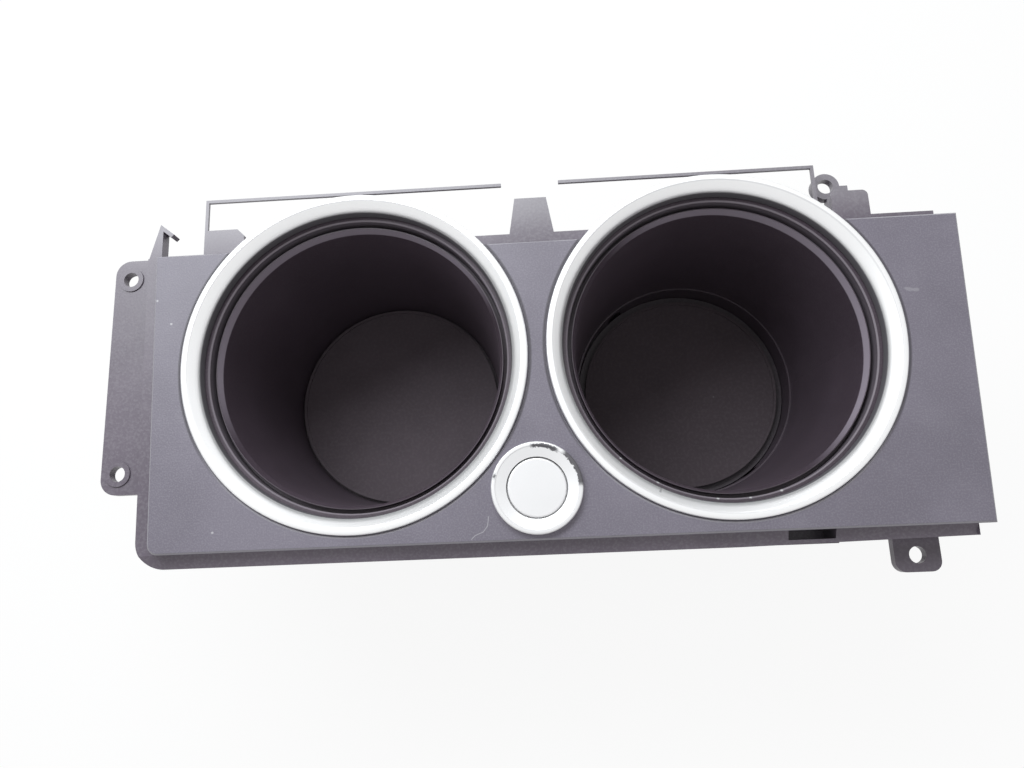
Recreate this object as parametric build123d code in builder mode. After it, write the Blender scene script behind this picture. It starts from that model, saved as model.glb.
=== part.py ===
from build123d import *
import os
from math import atan2, cos, degrees, hypot, radians, sin, sqrt

# Car cup holder insert for a centre console: a trim panel on a carrier frame, two cup wells
# with trim rings, and a push button that releases the spring-lifted floor of the right well.
# Frame: X along the panel, Y to the rear, Z up out of the cups. Pieces are drawn about the point
# on the standing plane half way between the two cup axes, and saved about the middle of the
# whole part's footprint. All sizes are in millimetres.

# Layout
rings_apart = 5.0
button_x = -1.67  # off the middle line between the cups
button_clear = 1.56  # from the bezel to the nearer ring
front_margin = 1.4  # panel past the bezel or the rings, whichever reaches further

# Clearances
slide_gap = 0.3  # round what slides, and under what rests on a stop
fit_gap = 0.1  # round what is pushed or screwed home
assembly_gap = 0.4  # between neighbours that only pass each other

# Trim panel
panel_thickness = 2.5
panel_rear = 32.5
left_margin = 6.8  # past the left ring, at the front
left_lean = 2.5  # further out at the rear
right_margin = 15.2
right_lean = 3.1
panel_notch = 1.6  # rear edge further in between the rings
panel_corner = 3.0
panel_edge = 0.5
lobe_margin = 0.5  # the ring's overhang past the lobe that carries it
panel_boss_r = 2.8
panel_boss_height = 8.0
panel_boss_side = 3.2  # boss to the carrier's side walls
panel_boss_front = 6.6  # front bosses to the carrier's front wall
panel_boss_rear = 8.0  # rear bosses, from the line of the cup axes

# Carrier frame
carrier_thickness = 2.5
front_ledge = 3.7  # carrier past the panel
rear_ledge = 1.9
left_ledge = 4.2
right_inset = 3.5  # carrier short of the panel
carrier_lean = 1.8  # carrier's sides further out at the rear
left_rear_in = 1.4  # rear edge further in, left of the left cup
front_taper = 0.8  # front edge further in, at its right end
front_slope = 1.6  # front ledge's fall from the panel to its edge
carrier_corner = 7.5
carrier_wall = 2.0
carrier_rib = 1.6
rib_pitch = 29.0
tower_wall = 1.6  # round the panel's bosses
mount_drop = 11.2  # panel's top face down to the top of the screw lugs
mount_thickness = 2.5
mount_hole_r = 2.2
flange_width = 16.1
flange_front = 33.5
flange_out = 1.8  # flange past the carrier at the rear
flange_corner = 4.5
hole_to_side = 4.9  # flange holes in from the flange's edges
hole_to_rear = 6.0
hole_to_front = 5.9
hole_rim = 1.4  # raised rim round the flange holes
hole_rim_height = 0.4
rear_lug_in = 22.9  # in from the carrier's right side
rear_lug_out = 13.1  # out from the carrier
rear_lug_r = 4.0
rear_lug_web = 6.3  # web from the lug's hole to the right, under the tab
front_lug_in = 12.2
front_lug_out = 3.7
front_lug_width = 12.0
front_lug_foot = 4.4  # past the hole
front_lug_corner = 2.8
front_slot_x = 17.8  # right of the right cup's axis
front_slot_length = 12.0
front_slot_width = 2.4
front_slot_depth = 7.0  # below the plate
front_slot_wall = 1.2
boss_r = 3.6
boss_height = 6.0

# Rear tabs, snap hook and the two thin retaining arms of the carrier
left_tab_in = 20.5  # outer tabs in from the carrier's sides
left_tab_width = 10.8
left_tab_reach = 6.2
left_tab_chamfer = 2.0
middle_tab_base = 12.5
middle_tab_tip = 9.0
middle_tab_reach = 10.7
right_tab_in = 20.2
right_tab_width = 10.2
right_tab_reach = 7.4
right_tab_corner = 1.6
hook_out = 1.5  # past the carrier's left side
hook_root = 3.6
hook_reach = 8.9
hook_barb = 3.2
hook_skin = 0.8
hook_throat = 2.1  # tip down to the barb's root
hook_height = 3.6
arm_clear = 4.6  # arms' rear line behind the rings
arm_left_in = 12.9  # in from the carrier's sides
arm_right_in = 27.9
arm_gap = 16.7  # between the free ends
arm_width = 0.9
arm_height = 0.9
arm_drop = 6.5
arm_nub = 0.9

# Trim rings
ring_outer_r = 47.5
ring_width = 4.6
ring_gap = 0.35  # panel's recess past the ring
ring_seat = 0.9  # depth of that recess
ring_bevel = 0.3
ring_lip = 0.4
ring_brow = 1.7  # outer edge in to the crown
ring_crown = 1.1
ring_roll = 3.3  # the silver face slopes this far below the panel at the inner edge
ring_spigot = 4.1
ring_spigot_wall = 0.9
ring_barb = 0.5
ring_barb_width = 8.0
ring_barbs = 6

# Cup wells
collar_step = 1.2  # collar inside the ring
collar_wall = 2.0
collar_edge = 0.4
collar_depth = 1.8  # down to the throat's lip
throat_step = 2.2  # throat inside the collar
throat_lip = 1.0
throat_bevel = 0.8
throat_bevel_rise = 2.6
groove_depth = 3.5  # between the lip and the collar
well_wall = 2.2
left_draft = 3.9  # wall's lean from the throat to the floor
left_floor_depth = 67.8  # panel's top face down to the top of the mat
well_floor = 2.2
foot_wall = 2.2
ear_clear = 1.1  # screw ears' bosses to the carrier's opening
ear_thickness = 2.5
ear_spread = 28.0  # outer ears off the line of the cup axes, in degrees
ear_front = 20.0  # front ears off the straight-ahead line, in degrees
right_draft = 2.6  # from the throat to the ledge
ledge_width = 0.5
ledge_depth = 64.5
right_floor_depth = 71.1
mat_thickness = 1.6
mat_rim = 0.9
mat_rim_rise = 0.5
left_mat_clear = 0.8
right_mat_clear = 2.4
front_rib_spread = 5.0  # two fine stiffening ribs on the left well, in degrees from each other
front_rib_width = 1.2
front_rib_proud = 1.4

# Lifting floor
lift_travel = 18.0
platform_thickness = 2.5
skirt_wall = 1.8
skirt_length = 14.3
stop_reach = 0.9  # lugs of the skirt's foot that run in grooves of the bore
stop_width = 5.0
stop_height = 3.0
stop_turn = 126.0  # first lug round the right well, in degrees
lift_coil_r = 22.0
lift_wire_r = 0.8
lift_turns = 3.0
spring_locator = 1.6
spring_locator_height = 2.2
cover_ear_web = 1.6  # under the cover's screw heads
cover_thickness = 2.4
cover_boss_r = 4.2
cover_boss_height = 10.0
cover_boss_turn = 36.0  # first cover boss round the right well, in degrees
drain_r = 3.0

# Button
bezel_outer_r = 11.95
bezel_lip = 0.9
bezel_crown = 1.9
bezel_brow = 0.6  # outer edge in to the crown
bezel_rim = 1.0
bezel_step = 0.25
bezel_wall = 1.0
bezel_stop = 1.4  # inner lip that keeps the cap in
bezel_depth = 9.0
bezel_barb = 0.4
bezel_barb_width = 6.0
cap_r = 7.7
cap_rise = 1.0
cap_edge = 0.5
cap_flange_r = 9.2
cap_flange = 3.0
cap_socket_wall = 1.7
cap_socket = 6.0
press_travel = 3.0
rod_r = 2.4
rod_grip = 4.0  # length of the rod held in the cap's socket
button_coil_r = 6.4
button_wire_r = 0.45
button_turns = 5.0
guide_wall = 1.8
guide_floor = 2.0
guide_tube_wall = 1.8
guide_tube = 26.0
guide_ear_x = 17.0
guide_ear_y = 4.5

# Catch strip
catch_width = 8.0
catch_thickness = 0.6
catch_bend = 0.8
catch_drop = 5.0  # lifting floor's plate down to the nose's underside
catch_nose = 1.4  # how far the nose reaches into the platform's skirt
catch_brow = 2.0  # upright front of the nose
catch_slope = 5.0  # height of the nose's slope
tongue_rise = 4.0
tongue_end = 6.0  # the tongue's free end past the rod's axis
rod_foot = 1.0  # rounding of the rod's foot
catch_pad_height = 7.6
catch_pad = 3.0  # the pad's face stands this far off the bore's wall
window_side = 1.0  # window past the strip on each side

# Screws
screw_r = 1.6
screw_length = 8.0
screw_head_r = 3.3
screw_head = 2.2
catch_screw_length = 4.2

# Levels above the standing plane
skirt_bottom = cover_thickness + slide_gap
platform_bottom = skirt_bottom + skirt_length
platform_top = platform_bottom + platform_thickness
panel_top = platform_top + mat_thickness + right_floor_depth
panel_bottom = panel_top - panel_thickness
carrier_bottom = panel_bottom - carrier_thickness
mount_top = panel_top - mount_drop
mount_bottom = mount_top - mount_thickness
boss_bottom = carrier_bottom - boss_height
collar_top = panel_top - ring_spigot - assembly_gap
throat_edge = collar_top - collar_depth
throat_top = throat_edge - throat_bevel_rise
groove_bottom = throat_edge - groove_depth
left_floor_top = panel_top - left_floor_depth - mat_thickness
ledge_top = panel_top - ledge_depth
stop_top = skirt_bottom + stop_height + lift_travel + slide_gap
cap_top = panel_top + cap_rise
cap_flange_top = panel_top - bezel_stop - slide_gap
cap_bottom = cap_flange_top - cap_flange
guide_seat = cap_bottom - cap_socket - press_travel - slide_gap
guide_bottom = guide_seat - guide_floor - guide_tube
ear_bottom = boss_bottom - ear_thickness
tower_bottom = panel_bottom - panel_boss_height - fit_gap
cover_ear = screw_head + fit_gap + cover_ear_web
catch_level = platform_bottom - catch_drop
catch_pad_high = catch_level - window_side - assembly_gap
catch_pad_low = catch_pad_high - catch_pad_height
tongue_level = catch_level + catch_slope + tongue_rise
rod_bottom = tongue_level + catch_thickness + slide_gap

# Shared radii
lobe_r = ring_outer_r - lobe_margin
ring_inner_r = ring_outer_r - ring_width
collar_inner_r = ring_inner_r - collar_step
throat_r = collar_inner_r - throat_step
left_floor_r = throat_r - left_draft
left_mat_r = left_floor_r - left_mat_clear
ledge_r = throat_r - right_draft
bore_r = ledge_r - ledge_width
ring_hole_r = ring_inner_r + ring_spigot_wall + fit_gap
collar_outer_r = collar_inner_r + collar_wall
ring_recess_r = ring_outer_r + ring_gap
carrier_hole_r = max(collar_outer_r, ring_hole_r + ring_barb) + assembly_gap
ear_circle_r = carrier_hole_r + boss_r + ear_clear
platform_r = bore_r - slide_gap
right_mat_r = platform_r - right_mat_clear
bore_outer_r = bore_r + well_wall
cover_boss_circle_r = bore_outer_r + cover_boss_r - assembly_gap
cap_bore_r = cap_r + slide_gap
bezel_bore_r = cap_flange_r + slide_gap
bezel_spigot_r = bezel_bore_r + bezel_wall
bezel_hole_r = bezel_spigot_r + fit_gap
guide_inner_r = bezel_spigot_r + bezel_barb + assembly_gap
screw_hole_r = screw_r + assembly_gap

# Places in plan
cup_x = ring_outer_r + rings_apart / 2
left_cup = (-cup_x, 0)
right_cup = (cup_x, 0)
cups = [left_cup, right_cup]
ring_reach = ring_outer_r + button_clear + bezel_outer_r
button_y = -sqrt(ring_reach**2 - (cup_x - abs(button_x)) ** 2)
button_at = (button_x, button_y)
panel_front = max(ring_outer_r, bezel_outer_r - button_y) + front_margin
panel_left_front = cup_x + ring_outer_r + left_margin
panel_left_rear = panel_left_front + left_lean
panel_right_front = cup_x + ring_outer_r + right_margin
panel_right_rear = panel_right_front + right_lean
carrier_front = panel_front + front_ledge
carrier_rear = panel_rear + rear_ledge
carrier_left = panel_left_front + left_ledge
carrier_right = panel_right_front - right_inset
flange_reach = carrier_left + flange_width
flange_rear = carrier_rear + flange_out
flange_holes = [
    (-flange_reach + hole_to_side, flange_rear - hole_to_rear),
    (-flange_reach + hole_to_side, -flange_front + hole_to_front),
]
rear_lug = (carrier_right - rear_lug_in, carrier_rear + rear_lug_out)
front_lug = (carrier_right - front_lug_in, -carrier_front - front_lug_out)
arm_line = ring_outer_r + arm_clear
arm_left = carrier_left - arm_left_in
arm_right = carrier_right - arm_right_in
reach_x = right_cup[0] - button_x
reach_y = right_cup[1] - button_y
well_reach = hypot(reach_x, reach_y)
catch_turn = degrees(atan2(reach_y, reach_x))  # from the button to the right well


def around(centre, radius, turn):
    """Point on a circle about a centre, turned from +X."""
    return (centre[0] + radius * cos(radians(turn)), centre[1] + radius * sin(radians(turn)))


def upright_plane(centre, turn):
    """Upright section plane: local X runs out from the centre at a turn, local Y runs up."""
    out = (cos(radians(turn)), sin(radians(turn)), 0)
    return Plane(origin=(*centre, 0), x_dir=out, z_dir=(out[1], -out[0], 0))


left_ear_turns = [ear_spread, 180 - ear_spread, 270 + ear_front]
right_ear_turns = [180 - ear_spread, ear_spread, 270 - ear_front]
left_ears = [around(left_cup, ear_circle_r, turn) for turn in left_ear_turns]
right_ears = [around(right_cup, ear_circle_r, turn) for turn in right_ear_turns]
guide_ears = [
    (button_x - guide_ear_x, button_y - guide_ear_y),
    (button_x + guide_ear_x, button_y - guide_ear_y),
]
panel_boss_left = carrier_left - carrier_wall - panel_boss_side - panel_boss_r
panel_boss_right = carrier_right - carrier_wall - panel_boss_side - panel_boss_r
panel_boss_ahead = carrier_front - carrier_wall - panel_boss_front
panel_bosses = [
    (-panel_boss_left, -panel_boss_ahead),
    (-panel_boss_left, panel_boss_rear),
    (panel_boss_right, -panel_boss_ahead),
    (panel_boss_right, panel_boss_rear),
]
cover_bosses = [
    around(right_cup, cover_boss_circle_r, cover_boss_turn + turn) for turn in (0, 120, 240)
]
stop_turns = [stop_turn, stop_turn + 180]

# Middle of the footprint, between the outermost edges each way
middle_x = (panel_right_rear - flange_reach) / 2
middle_y = (max(arm_line, rear_lug[1] + rear_lug_r) + front_lug[1] - front_lug_foot) / 2


def save(piece, name):
    """Set a finished piece about the footprint's middle, label it and write its STEP file."""
    piece.part = Pos(-middle_x, -middle_y, 0) * piece.part
    piece.part.label = name
    export_step(piece.part, f"parts/{name}.step")


def wall_r(height, foot_r, foot_height):
    """Inner radius of a well's drafted wall at a height."""
    return foot_r + (throat_r - foot_r) * (height - foot_height) / (throat_top - foot_height)


STAND = (Align.CENTER, Align.CENTER, Align.MIN)
os.makedirs("parts", exist_ok=True)

# Trim panel: flat moulding with a round lobe under each ring and screw bosses below
with BuildPart() as top_panel:
    with BuildSketch(Plane.XY.offset(panel_bottom)) as panel_plan:
        with BuildLine():
            Polyline(
                (-panel_left_rear, panel_rear),
                (-panel_left_front, -panel_front),
                (panel_right_front, -panel_front),
                (panel_right_rear, panel_rear),
                (cup_x, panel_rear),
                (cup_x, panel_rear - panel_notch),
                (-cup_x, panel_rear - panel_notch),
                (-cup_x, panel_rear),
                close=True,
            )
        make_face()
        fillet(panel_plan.vertices().group_by(Axis.Y)[0].sort_by(Axis.X)[0], panel_corner)
        with Locations(*cups):
            Circle(lobe_r)
    extrude(amount=panel_thickness)
    chamfer(top_panel.faces().sort_by(Axis.Z)[-1].outer_wire().edges(), panel_edge)
    with BuildSketch(Plane.XY.offset(panel_bottom)):
        with Locations(*cups):
            Circle(ring_hole_r)
        with Locations(button_at):
            Circle(bezel_hole_r)
    extrude(amount=panel_thickness, mode=Mode.SUBTRACT)
    # Recess that each ring lies in, with a bevelled edge
    with Locations(*[(x, y, panel_top - ring_seat) for x, y in cups]):
        Cylinder(ring_recess_r, ring_seat, align=STAND, mode=Mode.SUBTRACT)
    with Locations(*[(x, y, panel_top - ring_bevel) for x, y in cups]):
        Cone(ring_recess_r, ring_recess_r + ring_bevel, ring_bevel, align=STAND, mode=Mode.SUBTRACT)
    with BuildSketch(Plane.XY.offset(panel_bottom)):
        with Locations(*panel_bosses):
            Circle(panel_boss_r)
    extrude(amount=-panel_boss_height)
    with BuildSketch(Plane.XY.offset(panel_bottom - panel_boss_height)):
        with Locations(*panel_bosses):
            Circle(screw_r + fit_gap / 2)
    extrude(amount=panel_boss_height, mode=Mode.SUBTRACT)
save(top_panel, "top_panel")


# Carrier's outline, wider than the panel at the front and left
with BuildSketch() as carrier_plan:
    with BuildLine():
        Polyline(
            (-carrier_left - carrier_lean, carrier_rear - left_rear_in),
            (-carrier_left, -carrier_front),
            (cup_x, -carrier_front),
            (carrier_right, -carrier_front + front_taper),
            (carrier_right + carrier_lean, carrier_rear),
            (-cup_x, carrier_rear),
            (-cup_x, carrier_rear - left_rear_in),
            close=True,
        )
    make_face()
    fillet(carrier_plan.vertices().group_by(Axis.Y)[0].sort_by(Axis.X)[0], carrier_corner)
    with Locations(*cups):
        Circle(lobe_r)

# Carrier frame: plate and perimeter wall with the screw flange, lugs, tabs, hook and arms
with BuildPart() as carrier_frame:
    with BuildSketch(Plane.XY.offset(carrier_bottom)):
        add(carrier_plan.sketch)
    extrude(amount=carrier_thickness)
    # The ledge in front of the panel falls away to its edge
    with BuildSketch(Plane.YZ.offset(-carrier_left)):
        with BuildLine():
            Polyline(
                (-panel_front, panel_bottom),
                (-carrier_front, panel_bottom),
                (-carrier_front, panel_bottom - front_slope),
                close=True,
            )
        make_face()
    extrude(amount=carrier_left + carrier_right, mode=Mode.SUBTRACT)
    with BuildSketch(Plane.XY.offset(mount_bottom)):
        add(carrier_plan.sketch)
        offset(amount=-carrier_wall, mode=Mode.SUBTRACT)
    extrude(amount=carrier_bottom - mount_bottom)
    # Stiffening ribs across the frame, and towers round the panel's bosses
    with BuildSketch(Plane.XY.offset(mount_bottom)):
        with Locations(((carrier_right - carrier_left) / 2, 0)):
            with GridLocations(0, rib_pitch, 1, 2):
                Rectangle(carrier_left + carrier_right + carrier_lean - carrier_wall, carrier_rib)
    extrude(amount=carrier_bottom - mount_bottom)
    with BuildSketch(Plane.XY.offset(tower_bottom)):
        with Locations(*panel_bosses):
            Circle(panel_boss_r + fit_gap + tower_wall)
    extrude(amount=carrier_bottom - tower_bottom)
    # Screw flange along the left side, and the rear and front screw lugs
    with BuildSketch(Plane.XY.offset(mount_bottom)) as flange_plan:
        flange_plate = flange_width + carrier_wall
        with Locations((-flange_reach + flange_plate / 2, (flange_rear - flange_front) / 2)):
            Rectangle(flange_plate, flange_rear + flange_front)
        fillet(flange_plan.vertices().group_by(Axis.X)[0], flange_corner)
    extrude(amount=mount_thickness)
    with BuildSketch(Plane.XY.offset(mount_bottom)):
        with Locations(rear_lug):
            Circle(rear_lug_r)
        rear_length = rear_lug_out + carrier_wall
        with Locations((rear_lug[0] + rear_lug_web / 2, rear_lug[1] - rear_length / 2)):
            Rectangle(rear_lug_web, rear_length)
        front_length = front_lug_foot + front_lug_out + carrier_wall + front_lug_corner
        with Locations((front_lug[0], front_lug[1] - front_lug_foot + front_length / 2)):
            RectangleRounded(front_lug_width, front_length, front_lug_corner)
    extrude(amount=mount_thickness)
    with BuildSketch(Plane.XY.offset(mount_top)):
        with Locations(*flange_holes):
            Circle(mount_hole_r + hole_rim)
    extrude(amount=hole_rim_height)
    # Rear tabs in the plane of the plate
    with BuildSketch(Plane.XY.offset(carrier_bottom)):
        with BuildLine():
            tab_left = -carrier_left + left_tab_in - left_tab_width / 2
            tab_right = tab_left + left_tab_width
            tab_tip = carrier_rear + left_tab_reach
            Polyline(
                (tab_left, carrier_rear - carrier_wall),
                (tab_left, tab_tip),
                (tab_right - left_tab_chamfer, tab_tip),
                (tab_right, tab_tip - left_tab_chamfer),
                (tab_right, carrier_rear - carrier_wall),
                close=True,
            )
        make_face()
        with BuildLine():
            Polyline(
                (-middle_tab_base / 2, carrier_rear - carrier_wall),
                (-middle_tab_base / 2, carrier_rear),
                (-middle_tab_tip / 2, carrier_rear + middle_tab_reach),
                (middle_tab_tip / 2, carrier_rear + middle_tab_reach),
                (middle_tab_base / 2, carrier_rear),
                (middle_tab_base / 2, carrier_rear - carrier_wall),
                close=True,
            )
        make_face()
        right_tab_length = right_tab_reach + carrier_wall
        right_tab_y = carrier_rear + right_tab_reach - right_tab_length / 2
        with Locations((carrier_right - right_tab_in, right_tab_y)):
            RectangleRounded(right_tab_width, right_tab_length, right_tab_corner)
    extrude(amount=carrier_thickness)
    # Snap hook at the rear left corner, with its barb to the right
    with BuildSketch(Plane.XY.offset(panel_bottom - hook_height)):
        with BuildLine():
            hook_left = carrier_left + hook_out
            hook_face = -hook_left + hook_root
            hook_tip = carrier_rear + hook_reach
            Polyline(
                (-hook_left, carrier_rear - carrier_wall),
                (hook_face, carrier_rear - carrier_wall),
                (hook_face, hook_tip - hook_throat),
                (hook_face + hook_barb - hook_skin, hook_tip - hook_barb - hook_skin),
                (hook_face + hook_barb, hook_tip - hook_barb),
                (hook_face - hook_skin, hook_tip),
                (-hook_left, carrier_rear - left_rear_in),
                close=True,
            )
        make_face()
    extrude(amount=hook_height)
    # Two thin springy arms behind the rings, free at the middle
    with BuildSketch(Plane.XY.offset(panel_top - arm_drop - arm_height)):
        arm_length = arm_line - carrier_rear + carrier_wall
        with Locations((-arm_left, arm_line - arm_length / 2), (arm_right, arm_line - arm_length / 2)):
            Rectangle(arm_width, arm_length)
        left_bar = arm_left - arm_gap / 2 + arm_width / 2
        right_bar = arm_right - arm_gap / 2 + arm_width / 2
        with Locations((-arm_gap / 2 - left_bar / 2, arm_line - arm_width / 2)):
            Rectangle(left_bar, arm_width)
        with Locations((arm_gap / 2 + right_bar / 2, arm_line - arm_width / 2)):
            Rectangle(right_bar, arm_width)
        with Locations((left_cup[0], arm_line - arm_width), (right_cup[0], arm_line - arm_width)):
            Circle(arm_nub)
    extrude(amount=arm_height)
    # Screw bosses for the wells and for the button guide
    with BuildSketch(Plane.XY.offset(boss_bottom)):
        with Locations(*left_ears, *right_ears, *guide_ears):
            Circle(boss_r)
    extrude(amount=boss_height)
    with BuildSketch(Plane.XY.offset(boss_bottom)):
        with Locations(*left_ears, *right_ears, *guide_ears):
            Circle(screw_r + fit_gap / 2)
    extrude(amount=boss_height, mode=Mode.SUBTRACT)
    # Openings for the wells, the button, the panel's bosses and the mounting screws
    with BuildSketch(Plane.XY.offset(mount_bottom)):
        with Locations(*cups):
            Circle(carrier_hole_r)
        with Locations(button_at):
            Circle(guide_inner_r)
        with Locations(*panel_bosses):
            Circle(panel_boss_r + fit_gap)
        with Locations(*flange_holes, rear_lug, front_lug):
            Circle(mount_hole_r)
    extrude(amount=panel_bottom - mount_bottom, mode=Mode.SUBTRACT)
    # Blind clip socket in the front ledge, beside the panel's edge
    front_slot = (right_cup[0] + front_slot_x, -panel_front - front_slot_width / 2)
    with BuildSketch(Plane.XY.offset(carrier_bottom)):
        with Locations(front_slot):
            Rectangle(front_slot_length + 2 * front_slot_wall, front_slot_width + 2 * front_slot_wall)
    extrude(amount=-front_slot_depth - front_slot_wall)
    with BuildSketch(Plane.XY.offset(carrier_bottom - front_slot_depth)):
        with Locations(front_slot):
            Rectangle(front_slot_length, front_slot_width)
    extrude(amount=front_slot_depth + carrier_thickness, mode=Mode.SUBTRACT)
save(carrier_frame, "carrier_frame")

# Trim rings: rounded brow and a silver face that slopes into the well, spigot with snap barbs
for ring_name, cup in (("ring_left", left_cup), ("ring_right", right_cup)):
    spigot_outer_r = ring_inner_r + ring_spigot_wall
    with BuildPart() as trim_ring:
        with BuildSketch(Plane.XZ):
            with BuildLine():
                lip = (ring_outer_r, panel_top + ring_lip)
                crown = (ring_outer_r - ring_brow, panel_top + ring_crown)
                roll = (ring_inner_r, panel_top - ring_roll)
                Spline(lip, crown, tangents=[(0, 1), (-1, 0)])
                Spline(crown, roll, tangents=[(-1, -1), (0, -1)])
                Polyline(
                    roll,
                    (ring_inner_r, panel_top - ring_spigot),
                    (spigot_outer_r, panel_top - ring_spigot),
                    (spigot_outer_r, panel_top - ring_seat),
                    (ring_outer_r, panel_top - ring_seat),
                    lip,
                )
            make_face()
        revolve(axis=Axis.Z)
        with BuildSketch(Plane.XY.offset(panel_top - ring_spigot)):
            with PolarLocations(spigot_outer_r, ring_barbs):
                Rectangle(2 * ring_barb, ring_barb_width)
            Circle(spigot_outer_r - ring_spigot_wall / 2, mode=Mode.SUBTRACT)
        extrude(amount=ring_spigot - panel_thickness - fit_gap)
    trim_ring.part = Pos(cup[0], cup[1], 0) * trim_ring.part
    save(trim_ring, ring_name)


def ear_plan(cup, ears):
    """Plan of a well's screw ears, from its wall out to the carrier's bosses."""
    with BuildSketch() as plan:
        with Locations(*ears):
            Circle(boss_r)
        for ear in ears:
            turn = degrees(atan2(ear[1] - cup[1], ear[0] - cup[0]))
            ear_length = ear_circle_r - throat_r
            with Locations(Location((*around(cup, ear_circle_r - ear_length / 2, turn), 0), turn)):
                Rectangle(ear_length, 2 * boss_r)
        with Locations(cup):
            Circle(throat_r + well_wall / 2, mode=Mode.SUBTRACT)
        with Locations(*ears):
            Circle(screw_hole_r, mode=Mode.SUBTRACT)
    return plan.sketch


left_ear_plan = ear_plan(left_cup, left_ears)
right_ear_plan = ear_plan(right_cup, right_ears)

# Left well: stepped mouth, drafted wall and fixed floor, with the wall run on as a foot
left_foot_r = wall_r(0, left_floor_r, left_floor_top) + well_wall
with BuildPart() as well_left:
    with BuildSketch(Plane.XZ.offset(-left_cup[1])):
        with BuildLine():
            Polyline(
                (left_cup[0], left_floor_top),
                (left_cup[0] + left_floor_r, left_floor_top),
                (left_cup[0] + throat_r, throat_top),
                (left_cup[0] + throat_r + throat_bevel, throat_edge),
                (left_cup[0] + throat_r + throat_lip, throat_edge),
                (left_cup[0] + throat_r + throat_lip, groove_bottom),
                (left_cup[0] + collar_inner_r, groove_bottom),
                (left_cup[0] + collar_inner_r, collar_top - collar_edge),
                (left_cup[0] + collar_inner_r + collar_edge, collar_top),
                (left_cup[0] + collar_outer_r, collar_top),
                (left_cup[0] + collar_outer_r, groove_bottom),
                (left_cup[0] + throat_r + well_wall, groove_bottom - collar_wall),
                (left_cup[0] + left_foot_r, 0),
                (left_cup[0] + left_foot_r - foot_wall, 0),
                (left_cup[0] + left_floor_r - foot_wall / 2, left_floor_top - well_floor),
                (left_cup[0], left_floor_top - well_floor),
                close=True,
            )
        make_face()
    revolve(axis=Axis(origin=(left_cup[0], left_cup[1], 0), direction=(0, 0, 1)))
    with BuildSketch(Plane.XY.offset(ear_bottom)):
        add(left_ear_plan)
    extrude(amount=ear_thickness)
    # Two fine stiffening ribs down the front of the wall
    for rib_turn in (270 - front_rib_spread / 2, 270 + front_rib_spread / 2):
        with BuildSketch(upright_plane(left_cup, rib_turn)):
            with BuildLine():
                Polyline(
                    (left_foot_r - foot_wall / 2, 0),
                    (left_foot_r + front_rib_proud, 0),
                    (throat_r + well_wall + front_rib_proud, ear_bottom - boss_r),
                    (throat_r + well_wall / 2, ear_bottom - boss_r),
                    close=True,
                )
            make_face()
        extrude(amount=front_rib_width / 2, both=True)
save(well_left, "well_left")

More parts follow.
